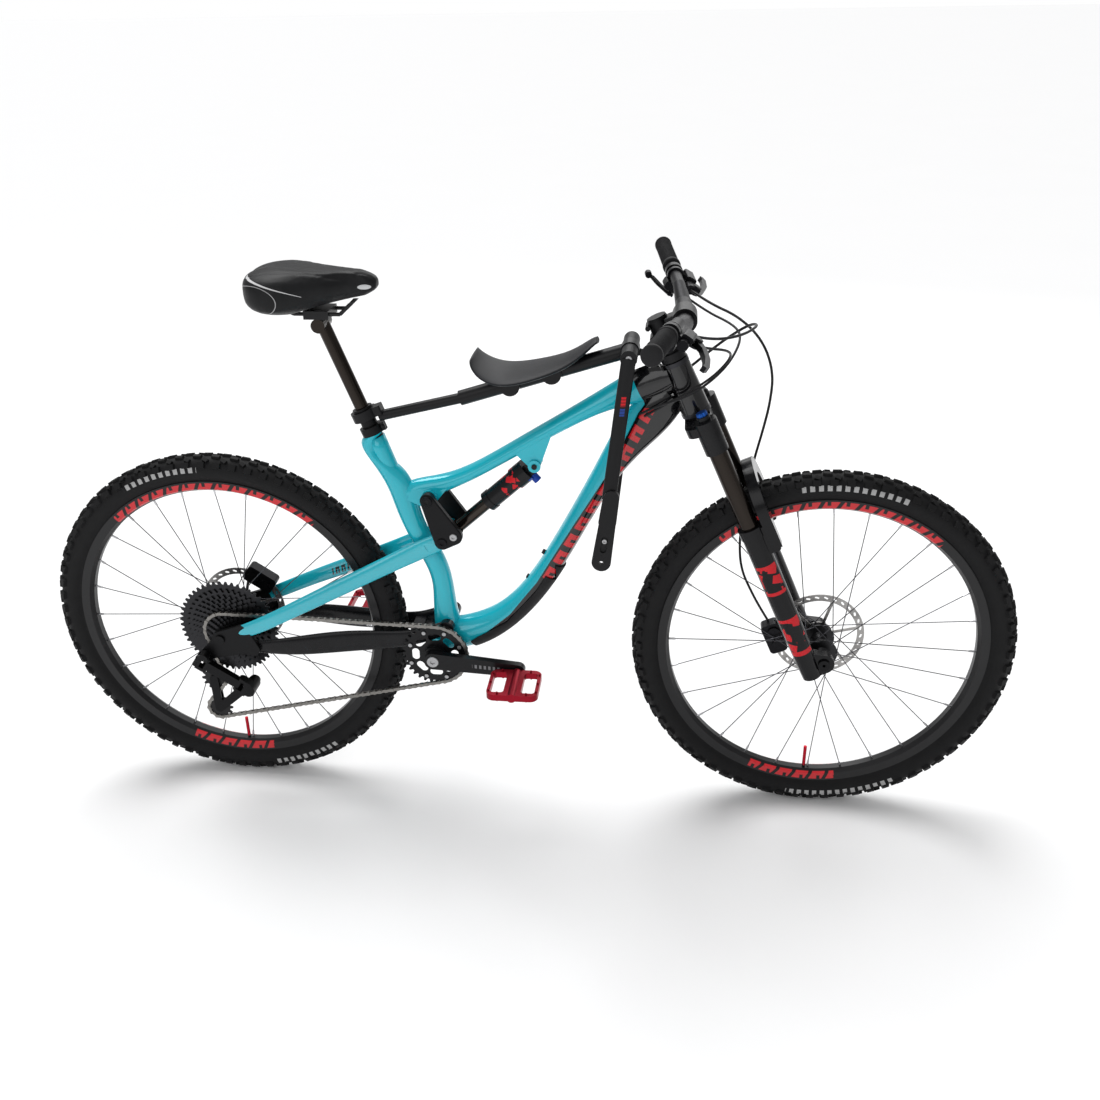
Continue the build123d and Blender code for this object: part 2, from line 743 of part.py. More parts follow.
def caliper(plane, rotor_at, rotor_y, reach):
    """Brake caliper round a rotor's rim; plane's local x is radial and its local y tangential."""
    with BuildPart() as body:
        with BuildSketch(plane):
            RectangleRounded(36, 66, 8)
        extrude(amount=13, both=True)
        with BuildSketch(plane.offset(6)):
            with Locations((-4, 14), (-4, -14)):
                Circle(12)
        extrude(amount=11)
        with BuildSketch(plane.offset(-reach)):
            with Locations((2, 0)):
                RectangleRounded(20, 56, 5)
        extrude(amount=reach)
        add(cross_pin(rotor_at, rotor_radius + 2.5, rotor_y - 2, rotor_y + 2), mode=Mode.SUBTRACT)
    return body.part


front_caliper_plane = Plane(
    origin=steer_point(28, -38, front_rotor_y),
    x_dir=-steer_ahead,
    z_dir=-leftward,
)
with BuildPart() as front_caliper:
    add(caliper(front_caliper_plane, front_axle_at, front_rotor_y, 20))
    with BuildSketch(steer_plane(2, -16, 52)):
        Rectangle(30, 14)
    extrude(amount=50)
    add(fork_lowers.part, mode=Mode.SUBTRACT)
    add(cross_pin(front_axle_at, rotor_radius + 2.5, front_rotor_y - 2, front_rotor_y + 2), mode=Mode.SUBTRACT)
front_caliper.part.label = "front_caliper"
export_step(front_caliper.part, "parts/front_caliper.step")
print("front_caliper solids", len(front_caliper.part.solids()))

# ---- wheels
spoke_count = 28
flange_radius = 30
rim_bed = 296
rim_edge = 318.3
spoke_end = rim_bed - 0.7
tyre_centre = wheel_radius - tyre_section


def ring_profile(centre, points):
    """Revolve a closed (radius, y) outline about a wheel's axle."""
    with BuildPart() as ring:
        with BuildSketch(wheel_plane(centre)):
            Polygon(*[(radius, -y) for radius, y in points], align=None)
        revolve(axis=axle_line(centre))
    return ring.part


def spoke_set(centre, flanges):
    """Crossed spokes: flange y values, half of the spokes on each."""
    per_flange = spoke_count // 2
    step = 2 * pi / per_flange
    spokes = []
    for side, flange_y in enumerate(flanges):
        for index in range(per_flange):
            turn = 3 if index % 2 == 0 else -3
            lean = 1.4 if index % 2 == 0 else -1.4
            start = (index + side / 2) * step
            end = (index + side / 2 + turn) * step
            rim_y = 1.8 if flange_y > 0 else -1.8
            spokes.append(rod(
                (centre[0] + 31.5 * cos(start), flange_y + lean, centre[1] + 31.5 * sin(start)),
                (centre[0] + spoke_end * cos(end), rim_y + lean * 0.85, centre[1] + spoke_end * sin(end)),
                0.95,
            ))
    return spokes


for name, centre in (("front", front_axle_at), ("rear", rear_axle_at)):
    with BuildPart() as tyre:
        with BuildSketch(wheel_plane(centre)):
            with Locations((tyre_centre, 0)):
                Circle(tyre_section)
                Circle(tyre_section - 4, mode=Mode.SUBTRACT)
            with Locations((rim_edge - 30, 0)):
                Rectangle(60, 80, mode=Mode.SUBTRACT)
        revolve(axis=axle_line(centre))
    tyre.part.label = f"{name}_tyre"
    export_step(tyre.part, f"parts/{name}_tyre.step")

    with BuildPart() as rim:
        add(ring_profile(centre, [
            (rim_bed, -7), (302, -16), (rim_edge, -17.2), (rim_edge, -14.6), (307, -13.4), (304.5, 0),
            (307, 13.4), (rim_edge, 14.6), (rim_edge, 17.2), (302, 16), (rim_bed, 7),
        ]))
        # valve stem at the foot of the wheel
        valve = Plane(origin=(centre[0] - 8, 0, centre[1] - 262), z_dir=(0, 0, -1))
        with BuildSketch(valve):
            Circle(3)
        extrude(amount=38)
    rim.part.label = f"{name}_rim"
    export_step(rim.part, f"parts/{name}_rim.step")

front_flanges = (24, -33)
rear_flanges = (34, -22)
with BuildPart() as front_hub:
    add(ring_profile(front_axle_at, [
        (7.5 + running, -54.7), (10, -54.7), (10, -40), (15, -36), (flange_radius, -34.5),
        (flange_radius, -31.5), (17, -29), (13, -15), (13, 8), (17, 20), (flange_radius, 22.5),
        (flange_radius, 25.5), (22, 28), (22, 39), (17, 39), (17, 42), (10, 42), (10, 54.7),
        (7.5 + running, 54.7),
    ]))
front_hub.part.label = "front_hub"
export_step(front_hub.part, "parts/front_hub.step")

with BuildPart() as rear_hub:
    add(ring_profile(rear_axle_at, [
        (6 + running, -73.7), (11, -73.7), (11, -25), (20, -24), (flange_radius, -23.5),
        (flange_radius, -20.5), (19, -17), (15, 0), (17, 28), (flange_radius, 32.5),
        (flange_radius, 35.5), (22, 38), (22, 59), (17, 59), (17, 62), (11, 62), (11, 73.7),
        (6 + running, 73.7),
    ]))
rear_hub.part.label = "rear_hub"
export_step(rear_hub.part, "parts/rear_hub.step")

for name, centre, flanges in (("front", front_axle_at, front_flanges), ("rear", rear_axle_at, rear_flanges)):
    with BuildPart() as spokes:
        add(spoke_set(centre, flanges))
    spokes.part.label = f"{name}_spokes"
    export_step(spokes.part, f"parts/{name}_spokes.step")
    print(name, "spokes", len(spokes.part.solids()))

for name, centre, y in (("front", front_axle_at, front_rotor_y), ("rear", rear_axle_at, rear_rotor_y)):
    with BuildPart() as rotor:
        with BuildSketch(side_plane(y, *centre)):
            Circle(rotor_radius)
            Circle(rotor_radius - 14, mode=Mode.SUBTRACT)
            Circle(28)
            for arm in range(6):
                with Locations(Location((0, 0, 0), (0, 0, arm * 60))):
                    with Locations(Location((50, 12, 0), (0, 0, 14))):
                        Rectangle(62, 6)
            with PolarLocations(rotor_radius - 7, 30):
                SlotOverall(9, 4, rotation=70, mode=Mode.SUBTRACT)
            Circle(17, mode=Mode.SUBTRACT)
        extrude(amount=1, both=True)
    rotor.part.label = f"{name}_rotor"
    export_step(rotor.part, f"parts/{name}_rotor.step")
    print(name, "rotor", len(rotor.part.solids()))

# ---- transmission
cogs = (10, 12, 14, 16, 18, 21, 24, 28, 32, 36, 42, 50)
chain_cog = cogs.index(21)
with BuildPart() as cassette:
    for index, teeth in enumerate(cogs):
        y = chain_plane + (index - chain_cog) * cog_spacing
        add(sprocket(rear_axle_at, teeth, 11 + running, y))
    last_y = chain_plane + (len(cogs) - 1 - chain_cog) * cog_spacing
    first_y = chain_plane - chain_cog * cog_spacing
    add(cross_ring(rear_axle_at, 15, 11 + running, first_y - 2.5, last_y + 1))
cassette.part.label = "cassette"
export_step(cassette.part, "parts/cassette.step")
print("cassette solids", len(cassette.part.solids()))

ring_teeth = 32
with BuildPart() as chainring:
    add(sprocket(bracket_at, ring_teeth, 17.02, chain_plane))
    add(cross_ring(bracket_at, 23, 17.02, -62, chain_plane))
    with BuildSketch(side_plane(chain_plane, *bracket_at)):
        with PolarLocations(40, 8):
            SlotOverall(26, 15, rotation=90)
    extrude(amount=3, both=True, mode=Mode.SUBTRACT)
chainring.part.label = "chainring"
export_step(chainring.part, "parts/chainring.step")

crank_tilt = atan2(-13.4, 170.4)
pedal_right_at = (
    bracket_at[0] + crank_length * cos(crank_tilt),
    bracket_at[1] + crank_length * sin(crank_tilt),
)
pedal_left_at = (2 * bracket_at[0] - pedal_right_at[0], 2 * bracket_at[1] - pedal_right_at[1])


def crank_arm(pedal_at, y_to):
    with BuildPart() as arm:
        with BuildSketch(side_plane(y_to)):
            with Locations(bracket_at):
                Circle(18)
            with Locations(pedal_at):
                Circle(14)
            make_hull()
        extrude(amount=14)
    return arm.part


with BuildPart() as crank_arm_right:
    add(crank_arm(pedal_right_at, -64))
    add(cross_pin(bracket_at, 17, -64, -44.3))
    add(cross_pin(bracket_at, 15, -64, 64))
    add(cross_pin(bracket_at, 11.9, 60, 78))
    add(cross_pin(pedal_right_at, 5, -169.5, -70))
crank_arm_right.part.label = "crank_arm_right"
export_step(crank_arm_right.part, "parts/crank_arm_right.step")

with BuildPart() as crank_arm_left:
    add(crank_arm(pedal_left_at, 78))
    add(cross_pin(pedal_left_at, 5, 70, 169.5))
    add(cross_pin(bracket_at, 11.92, 50, 90), mode=Mode.SUBTRACT)
crank_arm_left.part.label = "crank_arm_left"
export_step(crank_arm_left.part, "parts/crank_arm_left.step")


def pedal(centre, y_near):
    """Flat platform pedal on its axle, 92 mm wide, with grip pins on both faces."""
    with BuildPart() as body:
        with BuildSketch(Plane(origin=(centre[0], y_near + 46, centre[1]))):
            RectangleRounded(100, 92, 16)
            with Locations((30, 0), (-30, 0)):
                RectangleRounded(26, 70, 6, mode=Mode.SUBTRACT)
        extrude(amount=6.5, both=True)
        add(cross_pin(centre, 9.5, y_near, y_near + 92))
        with BuildSketch(Plane(origin=(centre[0], y_near + 46, centre[1]))):
            with Locations((46, 30), (46, 0), (46, -30), (-46, 30), (-46, 0), (-46, -30), (28, 40), (-28, 40)):
                Circle(1.8)
            with Locations((28, -40), (-28, -40)):
                Circle(1.8)
        extrude(amount=10, both=True)
        add(cross_pin(centre, 5 + running, y_near - 1, y_near + 88), mode=Mode.SUBTRACT)
    return body.part


with BuildPart() as pedal_right:
    add(mirror(pedal((pedal_right_at[0], pedal_right_at[1]), 82), about=Plane.XZ))
pedal_right.part.label = "pedal_right"
export_step(pedal_right.part, "parts/pedal_right.step")
with BuildPart() as pedal_left:
    add(pedal(pedal_left_at, 82))
pedal_left.part.label = "pedal_left"
export_step(pedal_left.part, "parts/pedal_left.step")
print("pedal solids", len(pedal_left.part.solids()))

# ---- rear suspension
stay_end_at = (-552, 388)
hanger_at = (-632, 334)
with BuildPart() as chainstay:
    stay = lofted_tube([
        (-528, -69.2, 350, 3, 9, 26),
        (-490, -70, 352, 3, 11, 34),
        (-430, -65, 356, 2, 14, 44),
        (-370, -54, 359, 2, 16, 48),
        (-310, -45, 361, 2, 14, 46),
        (-255, -39.5, 363, 4, 12, 40),
        (-200, -37.5, 372, 16, 12, 34),
        (-146, -36.5, 393, 24, 12, 28),
    ])
    eye = cross_pin(main_pivot_at, 15, -43.6, -28.3)
    heel = cross_pin(horst_pivot_at, 14, -73.7, -64.5)
    for shape in (stay, eye, heel):
        add(both_sides(shape))
    with BuildSketch(side_plane(36)):
        with BuildLine():
            Polyline((-218, 356), (-200, 356), (-196, 378), (-218, 378), close=True)
        make_face()
    extrude(amount=72)
    add(cross_pin(main_pivot_at, 7.5 + running, -60, 60), mode=Mode.SUBTRACT)
    for y_from, y_to in ((-90, -50), (50, 90)):
        add(cross_pin(horst_pivot_at, 6 + running, y_from, y_to), mode=Mode.SUBTRACT)
    # keep the eyes inside the frame's bosses and the chainring
    for y_from, y_to in ((-28.3, 28.3), (-90, -44), (44, 90)):
        add(cross_pin(main_pivot_at, 40, y_from, y_to), mode=Mode.SUBTRACT)
    for y_from, y_to in ((-90, -73.7), (73.7, 90), (-64.5, -30), (30, 64.5)):
        add(cross_pin(horst_pivot_at, 22, y_from, y_to), mode=Mode.SUBTRACT)
chainstay.part.label = "chainstay"
export_step(chainstay.part, "parts/chainstay.step")
print("chainstay solids", len(chainstay.part.solids()))


def dropout_plate(y_to, with_hanger):
    with BuildPart() as plate:
        with BuildSketch(side_plane(y_to)):
            with Locations(rear_axle_at):
                Circle(17)
            with Locations(horst_pivot_at):
                Circle(14)
            with Locations(stay_end_at):
                Circle(15)
            make_hull()
        extrude(amount=8)
        if with_hanger:
            with BuildSketch(side_plane(y_to)):
                with Locations(hanger_at):
                    Circle(12)
                with Locations(rear_axle_at):
                    Circle(12)
                with Locations(horst_pivot_at):
                    Circle(6)
                make_hull()
            extrude(amount=8)
    return plate.part


hinge_tilt = 34
link_axis = Vector(sin(radians(hinge_tilt)), 0, cos(radians(hinge_tilt)))
link_along = Vector(cos(radians(hinge_tilt)), 0, -sin(radians(hinge_tilt)))
link_length = 80
cage_pivot = Vector(cage_pivot_at[0], -92, cage_pivot_at[1])
link_root = cage_pivot - link_along * link_length
with BuildPart() as dropouts:
    add(dropout_plate(-74, True))
    add(dropout_plate(82, False))
    for y_from, y_to in ((-82, -64.5), (64.5, 82)):
        add(cross_pin(horst_pivot_at, 6, y_from, y_to))
    # fixed knuckle of the derailleur, with its two hinge ears
    add(cross_pin(hanger_at, 11, -104, -82))
    with BuildSketch(Plane(origin=link_root - link_axis * 17, x_dir=link_along, z_dir=link_axis)):
        Circle(8)
        with Locations((-8, 0)):
            Rectangle(16, 16)
    extrude(amount=34)
    back = link_root - link_along * 18
    add(rod((hanger_at[0], -93, hanger_at[1]), tuple(back), 8))
    add(rod(tuple(back - link_axis * 16), tuple(back + link_axis * 16), 6))
    with BuildSketch(Plane(origin=link_root - link_axis * 10.2, x_dir=link_along, z_dir=link_axis)):
        with Locations((12, 0)):
            Rectangle(44, 44)
    extrude(amount=20.4, mode=Mode.SUBTRACT)
    add(rod(tuple(link_root - link_axis * 17), tuple(link_root + link_axis * 17), 3))
    add(cross_pin(rear_axle_at, 6, -100, 100), mode=Mode.SUBTRACT)
dropouts.part.label = "dropouts"
export_step(dropouts.part, "parts/dropouts.step")
print("dropouts solids", len(dropouts.part.solids()))

with BuildPart() as stay_right:
    add(lofted_tube([
        (-556, -76, 386, 24, 12, 27),
        (-480, -75, 420, 24, 13, 31),
        (-400, -63, 459, 25, 15, 33),
        (-310, -47, 502, 25, 16, 35),
        (-250, -38, 531, 26, 15, 36),
        (-190, -31, 560, 26, 13, 38),
        (-137, -28.6, 586, 28, 12.6, 33),
    ]))
    add(cross_pin(stay_pivot_at, 16.3, -34.8, -22.3))
    for y_from, y_to in ((-60, -34.8), (-22.3, 0)):
        add(cross_pin(stay_pivot_at, 40, y_from, y_to), mode=Mode.SUBTRACT)
    add(cross_pin(stay_pivot_at, 10.4, -60, 0), mode=Mode.SUBTRACT)
    add(dropouts.part, mode=Mode.SUBTRACT)
    # nothing of the stay stands inboard of its dropout
    add(cross_pin(rear_axle_at, 60, -74, -60), mode=Mode.SUBTRACT)
stay_right_body = stay_right.part.solids().sort_by(SortBy.VOLUME)[-1]
with BuildPart() as seatstay:
    add(stay_right_body)
    add(mirror(stay_right_body, about=Plane.XZ))
seatstay.part.label = "seatstay"
export_step(seatstay.part, "parts/seatstay.step")
print("seatstay solids", len(seatstay.part.solids()))

with BuildPart() as rear_axle:
    add(cross_pin(rear_axle_at, 6, -84, 83))
    add(cross_pin(rear_axle_at, 10, -86, -82.1))
rear_axle.part.label = "rear_axle"
export_step(rear_axle.part, "parts/rear_axle.step")

caliper_tilt = 56
caliper_out = Vector(cos(radians(caliper_tilt)), 0, sin(radians(caliper_tilt)))
caliper_spot = Vector(rear_axle_at[0], rear_rotor_y, rear_axle_at[1]) + caliper_out * 84
with BuildPart() as rear_caliper:
    add(caliper(Plane(origin=caliper_spot, x_dir=caliper_out, z_dir=-leftward), rear_axle_at, rear_rotor_y, 21))
    add(rod((-545, 78, 428), (-545, 78, 404), 6))
    add(dropouts.part, mode=Mode.SUBTRACT)
    add(seatstay.part, mode=Mode.SUBTRACT)
rear_caliper_body = rear_caliper.part.solids().sort_by(SortBy.VOLUME)[-1]
with BuildPart() as rear_caliper:
    add(rear_caliper_body)
rear_caliper.part.label = "rear_caliper"
export_step(rear_caliper.part, "parts/rear_caliper.step")

with BuildPart() as rocker_link:
    for y_to in (47, -35.2):
        with BuildSketch(side_plane(y_to)):
            with Locations(rocker_pivot_at):
                Circle(14)
            with Locations(stay_pivot_at):
                Circle(15)
            with Locations(shock_eye_at):
                Circle(17)
            make_hull()
        extrude(amount=11.8)
    for y_from, y_to in ((-36, -27.3), (27.3, 36)):
        add(cross_pin(rocker_pivot_at, 12, y_from, y_to))
        side = 1 if y_from > 0 else -1
        add(cross_pin(stay_pivot_at, 5, min(22 * side, 36 * side), max(22 * side, 36 * side)))
    add(cross_pin(shock_eye_at, 4, -36, 36))
    add(cross_pin(rocker_pivot_at, 6 + running, -60, 60), mode=Mode.SUBTRACT)
    for edge_y in (-47, 47):
        rim_edges = rocker_link.edges().filter_by_position(Axis.Y, edge_y - 0.1, edge_y + 0.1)
        chamfer(rim_edges.sort_by(SortBy.LENGTH)[-1], 2)
rocker_link.part.label = "rocker_link"
export_step(rocker_link.part, "parts/rocker_link.step")
print("rocker solids", len(rocker_link.part.solids()))

shock_length = sqrt((shock_mount_at[0] - shock_eye_at[0])**2 + (shock_mount_at[1] - shock_eye_at[1])**2)
print("shock eye to eye", round(shock_length, 1))
with BuildPart() as shock_body:
    with BuildSketch(shock_plane(84)):
        Circle(20.5)
    extrude(amount=12)
    with BuildSketch(shock_plane(96)):
        Circle(19)
    extrude(amount=66)
    with BuildSketch(shock_plane(158)):
        Circle(22)
    extrude(amount=30)
    with BuildSketch(shock_plane(180)):
        Rectangle(22, 24)
    extrude(amount=shock_length - 180)
    add(cross_pin(shock_mount_at, 11.5, -11, 11))
    with BuildSketch(shock_plane(80)):
        Circle(12.5 + running)
    extrude(amount=78, mode=Mode.SUBTRACT)
    # rebound knob and compression lever under the head
    below = -shock_plane(188).y_dir
    with BuildSketch(Plane(origin=shock_plane(188).origin + below * 10, z_dir=below)):
        Circle(8)
    extrude(amount=20)
    add(cross_pin(shock_mount_at, 5 + running, -30, 30), mode=Mode.SUBTRACT)
shock_body.part.label = "shock_body"
export_step(shock_body.part, "parts/shock_body.step")
print("shock_body solids", len(shock_body.part.solids()), "y_dir", shock_plane(0).y_dir)

with BuildPart() as shock_shaft:
    with BuildSketch(shock_plane(8)):
        Circle(12.5)
    extrude(amount=92)
    add(cross_pin(shock_eye_at, 13, -11, 11))
    add(cross_pin(shock_eye_at, 7.6, -30, 30), mode=Mode.SUBTRACT)
shock_shaft.part.label = "shock_shaft"
export_step(shock_shaft.part, "parts/shock_shaft.step")

# ---- derailleur
with BuildPart() as derailleur_links:
    with BuildSketch(Plane(origin=link_root - link_axis * 10, x_dir=link_along, z_dir=link_axis)):
        with BuildLine():
            Polyline((0, -8), (link_length, -7), (link_length + 6, 0), (link_length, 7), (0, 8), (-6, 0), close=True)
        make_face()
        Circle(3 + running, mode=Mode.SUBTRACT)
    extrude(amount=20)
    with BuildSketch(Plane(origin=link_root - link_axis * 20, x_dir=link_along, z_dir=link_axis)):
        with Locations((link_length, 0)):
            Circle(3 + running)
    extrude(amount=40, mode=Mode.SUBTRACT)
derailleur_links.part.label = "derailleur_links"
export_step(derailleur_links.part, "parts/derailleur_links.step")

with BuildPart() as derailleur_body:
    with BuildSketch(Plane(origin=cage_pivot - link_axis * 17, x_dir=link_along, z_dir=link_axis)):
        Circle(9)
        with Locations((10, 0)):
            Rectangle(20, 18)
    extrude(amount=34)
    with BuildSketch(Plane(origin=cage_pivot - link_axis * 10.3, x_dir=link_along, z_dir=link_axis)):
        with Locations((-6, 0)):
            Rectangle(30, 60)
    extrude(amount=20.6, mode=Mode.SUBTRACT)
    add(rod(tuple(cage_pivot - link_axis * 17), tuple(cage_pivot + link_axis * 17), 3))
    knuckle_at = (cage_pivot_at[0] + 17, cage_pivot_at[1] - 12)
    add(cross_pin(knuckle_at, 14, -100, -64))
    with BuildSketch(Plane(origin=cage_pivot - link_axis * 10.3, x_dir=link_along, z_dir=link_axis)):
        with Locations((-6, 0)):
            Rectangle(30, 60)
    extrude(amount=20.6, mode=Mode.SUBTRACT)
    add(rod(tuple(cage_pivot - link_axis * 17), tuple(cage_pivot + link_axis * 17), 3))
    add(cross_pin(knuckle_at, 5, -64, -56))
derailleur_body.part.label = "derailleur_body"
export_step(derailleur_body.part, "parts/derailleur_body.step")
print("derailleur_body solids", len(derailleur_body.part.solids()))

with BuildPart() as derailleur_cage:
    outer_face = chain_plane - 4.2
    with BuildSketch(side_plane(outer_face)):
        with Locations(knuckle_at):
            Circle(11)
        with Locations(tension_wheel_at):
            Circle(9)
        make_hull()
    extrude(amount=2)
    for y_to in (outer_face, chain_plane + 6.2):
        with BuildSketch(side_plane(y_to)):
            with Locations(guide_wheel_at):
                Circle(9)
            with Locations(tension_wheel_at):
                Circle(9)
            make_hull()
        extrude(amount=2)
    for centre in (guide_wheel_at, tension_wheel_at):
        add(cross_pin(centre, 2.5, outer_face - 1, chain_plane + 5))
    add(cross_pin(knuckle_at, 11, -63.5, outer_face - 2))
    add(cross_pin(knuckle_at, 5 + running, -70, -56), mode=Mode.SUBTRACT)
    add(cross_pin(knuckle_at, 5.2, -56, -54), mode=Mode.SUBTRACT)
derailleur_cage.part.label = "derailleur_cage"
export_step(derailleur_cage.part, "parts/derailleur_cage.step")
print("derailleur_cage solids", len(derailleur_cage.part.solids()))

jockey_teeth = 12
for name, centre in (("guide_wheel", guide_wheel_at), ("tension_wheel", tension_wheel_at)):
    with BuildPart() as jockey:
        add(sprocket(centre, jockey_teeth, 2.5 + running, chain_plane))
        add(cross_ring(centre, 7, 2.5 + running, chain_plane - 3.8, chain_plane + 3.8))
    jockey.part.label = name
    export_step(jockey.part, f"parts/{name}.step")

# chain: closed loop over chainring, tension wheel, guide wheel and cassette cog
wheels = (
    (bracket_at, pitch_radius(ring_teeth), -1),
    (tension_wheel_at, pitch_radius(jockey_teeth), -1),
    (guide_wheel_at, pitch_radius(jockey_teeth), 1),
    (rear_axle_at, pitch_radius(21), -1),
)


def tangent_run(first, second, shift=0):
    """Ends of the straight run between two wheels, moved sideways by shift."""
    (x1, z1), r1, s1 = first
    (x2, z2), r2, s2 = second
    r1 -= s1 * shift
    r2 -= s2 * shift
    length = sqrt((x2 - x1)**2 + (z2 - z1)**2)
    heading = atan2(z2 - z1, x2 - x1) - asin((s2 * r2 - s1 * r1) / length)
    normal = (-sin(heading), cos(heading))
    return (
        (x1 - s1 * r1 * normal[0], z1 - s1 * r1 * normal[1]),
        (x2 + -s2 * r2 * normal[0], z2 - s2 * r2 * normal[1]),
    )


def wrap_middle(centre, start, end, sense):
    """Middle point of the arc round a wheel from start to end."""
    from_angle = atan2(start[1] - centre[1], start[0] - centre[0])
    to_angle = atan2(end[1] - centre[1], end[0] - centre[0])
    sweep_angle = sense * ((sense * (to_angle - from_angle)) % (2 * pi))
    radius = sqrt((start[0] - centre[0])**2 + (start[1] - centre[1])**2)
    middle = from_angle + sweep_angle / 2
    return centre[0] + radius * cos(middle), centre[1] + radius * sin(middle)


def chain_outline(shift):
    """Face inside the chain's line, moved outwards or inwards by shift."""
    loop = [tangent_run(wheels[index], wheels[(index + 1) % 4], shift) for index in range(4)]
    with BuildSketch(side_plane(0)) as face:
        with BuildLine():
            for index, (start, end) in enumerate(loop):
                centre, _, sense = wheels[(index + 1) % 4]
                after = loop[(index + 1) % 4][0]
                Line(start, end)
                ThreePointArc(end, wrap_middle(centre, end, after, sense), after)
        make_face()
    return face.sketch_local


outer_loop = chain_outline(4)
inner_loop = chain_outline(-4)
runs = [tangent_run(wheels[index], wheels[(index + 1) % 4]) for index in range(4)]
with BuildPart() as chain:
    for y_to in (chain_plane - 1.3, chain_plane + 2.5):
        with BuildSketch(side_plane(y_to)):
            add(outer_loop)
            add(inner_loop, mode=Mode.SUBTRACT)
        extrude(amount=1.2)
    for (x1, z1), (x2, z2) in (runs[0], runs[3]):
        length = sqrt((x2 - x1)**2 + (z2 - z1)**2)
        for step in range(3, int(length / chain_pitch) - 2):
            share = step * chain_pitch / length
            centre = (x1 + (x2 - x1) * share, z1 + (z2 - z1) * share)
            add(cross_pin(centre, 3.8, chain_plane - 2, chain_plane + 2))
chain.part.label = "chain"
export_step(chain.part, "parts/chain.step")
print("chain solids", len(chain.part.solids()), chain.part.volume, chain.part.bounding_box())

# ---- dropper post and saddle
with BuildPart() as seatpost_shaft:
    with BuildSketch(post_plane(10)):
        Circle(13)
    extrude(amount=222)
    add(cross_pin((-343, 1001), 13, -24, 24))
seatpost_shaft.part.label = "seatpost_shaft"
export_step(seatpost_shaft.part, "parts/seatpost_shaft.step")

saddle_stations = (
    (-470, 1072, 40, 36), (-450, 1067, 78, 68), (-415, 1064, 92, 80), (-370, 1067, 82, 66),
    (-325, 1072, 58, 50), (-285, 1076, 34, 38), (-250, 1077, 24, 32), (-224, 1078, 14, 20),
)
with BuildPart() as saddle_form:
    for x, z, half_width, thick in saddle_stations:
        with BuildSketch(Plane(origin=(x, 0, z), x_dir=(0, 1, 0), z_dir=(1, 0, 0))):
            Ellipse(half_width, thick / 2)
    loft()
with BuildPart() as saddle_cover:
    add(saddle_form.part)
    with Locations((-350, 0, 1042 - 40)):
        Box(400, 300, 80, mode=Mode.SUBTRACT)
saddle_cover.part.label = "saddle_cover"
export_step(saddle_cover.part, "parts/saddle_cover.step")

with BuildPart() as saddle_base:
    add(saddle_form.part)
    with Locations((-350, 0, 1042 + 40)):
        Box(400, 300, 80, mode=Mode.SUBTRACT)
    for side in (-1, 1):
        add(rod((-425, side * 26, 1046), (-385, side * 22, 1023), 3.5))
        add(rod((-385, side * 22, 1023), (-300, side * 22, 1023), 3.5))
        add(rod((-300, side * 22, 1023), (-262, side * 12, 1058), 3.5))
    with Locations((-343, 0, 1022)):
        Box(46, 58, 15)
    add(seatpost_shaft.part, mode=Mode.SUBTRACT)
    with Locations((-350, 0, 1042 + 40)):
        Box(400, 300, 80, mode=Mode.SUBTRACT)
saddle_base.part.label = "saddle_base"
export_step(saddle_base.part, "parts/saddle_base.step")
print("saddle solids", len(saddle_cover.part.solids()), len(saddle_base.part.solids()))

# ---- hoses and cables, held by the controls and the frame
hose_radius = 2.5
brake_exit_left = lever_plane(150, 28).origin
caliper_port = steer_point(62, -38, front_rotor_y + 6)
front_hose_route = [
    tuple(brake_exit_left - bar_out * 0.2),
    (352, 118, 1016),
    (408, 84, 1000),
    (452, 62, 962),
    (474, 58, 905),
    (472, 62, 845),
    (463, 74, 785),
    (452, 86, 725),
    (444, 94, 665),
    (438, 94, 605),
    (434, 90, 545),
    (440, 78, 490),
    (464, 60, 446),
    tuple(steer_point(92, -42, front_rotor_y + 6)),
    tuple(caliper_port),
]
with BuildPart() as front_brake_hose:
    add(hose("front_brake_hose", front_hose_route, hose_radius))
front_brake_hose.part.label = "front_brake_hose"
export_step(front_brake_hose.part, "parts/front_brake_hose.step")

brake_exit_right = brake_exit_left * 1
brake_exit_right.Y = -brake_exit_left.Y
trigger_exit = lever_plane(174, 4, trigger_lift).origin
cable_routes = {
    "rear brake": (2.5, [
        tuple(brake_exit_right + Vector(0, 0.2, 0)),
        (356, -112, 1012),
        (408, -72, 1010),
        (438, -18, 1014),
        (424, 30, 1002),
        (378, 50, 964),
        (330, 42, 924),
        (290, 33, 892),
        (262, 25.6, 872),
    ]),
    "shift": (2.3, [
        (trigger_exit.X + 2, -trigger_exit.Y + 0.2, trigger_exit.Z),
        (342, -124, 1002),
        (386, -84, 988),
        (392, -44, 962),
        (362, -36, 924),
        (318, -36, 894),
        (276, -33, 868),
        (244, -26.5, 846),
    ]),
    "dropper": (2.3, [
        (trigger_exit.X + 2, trigger_exit.Y - 0.2, trigger_exit.Z),
        (346, 122, 1000),
        (396, 72, 990),
        (412, 14, 984),
        (392, -34, 952),
        (352, -56, 916),
        (306, -53, 888),
        (264, -38, 869),
        (236, -26.5, 850),
    ]),
}
with BuildPart() as control_cables:
    for name, (radius, points) in cable_routes.items():
        add(hose(name, points, radius))
control_cables.part.label = "control_cables"
export_step(control_cables.part, "parts/control_cables.step")
print("cable solids", len(control_cables.part.solids()))
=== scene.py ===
import bmesh
import bpy
import json
from math import asin, atan2, cos, pi, radians, sin
from mathutils import Matrix, Vector


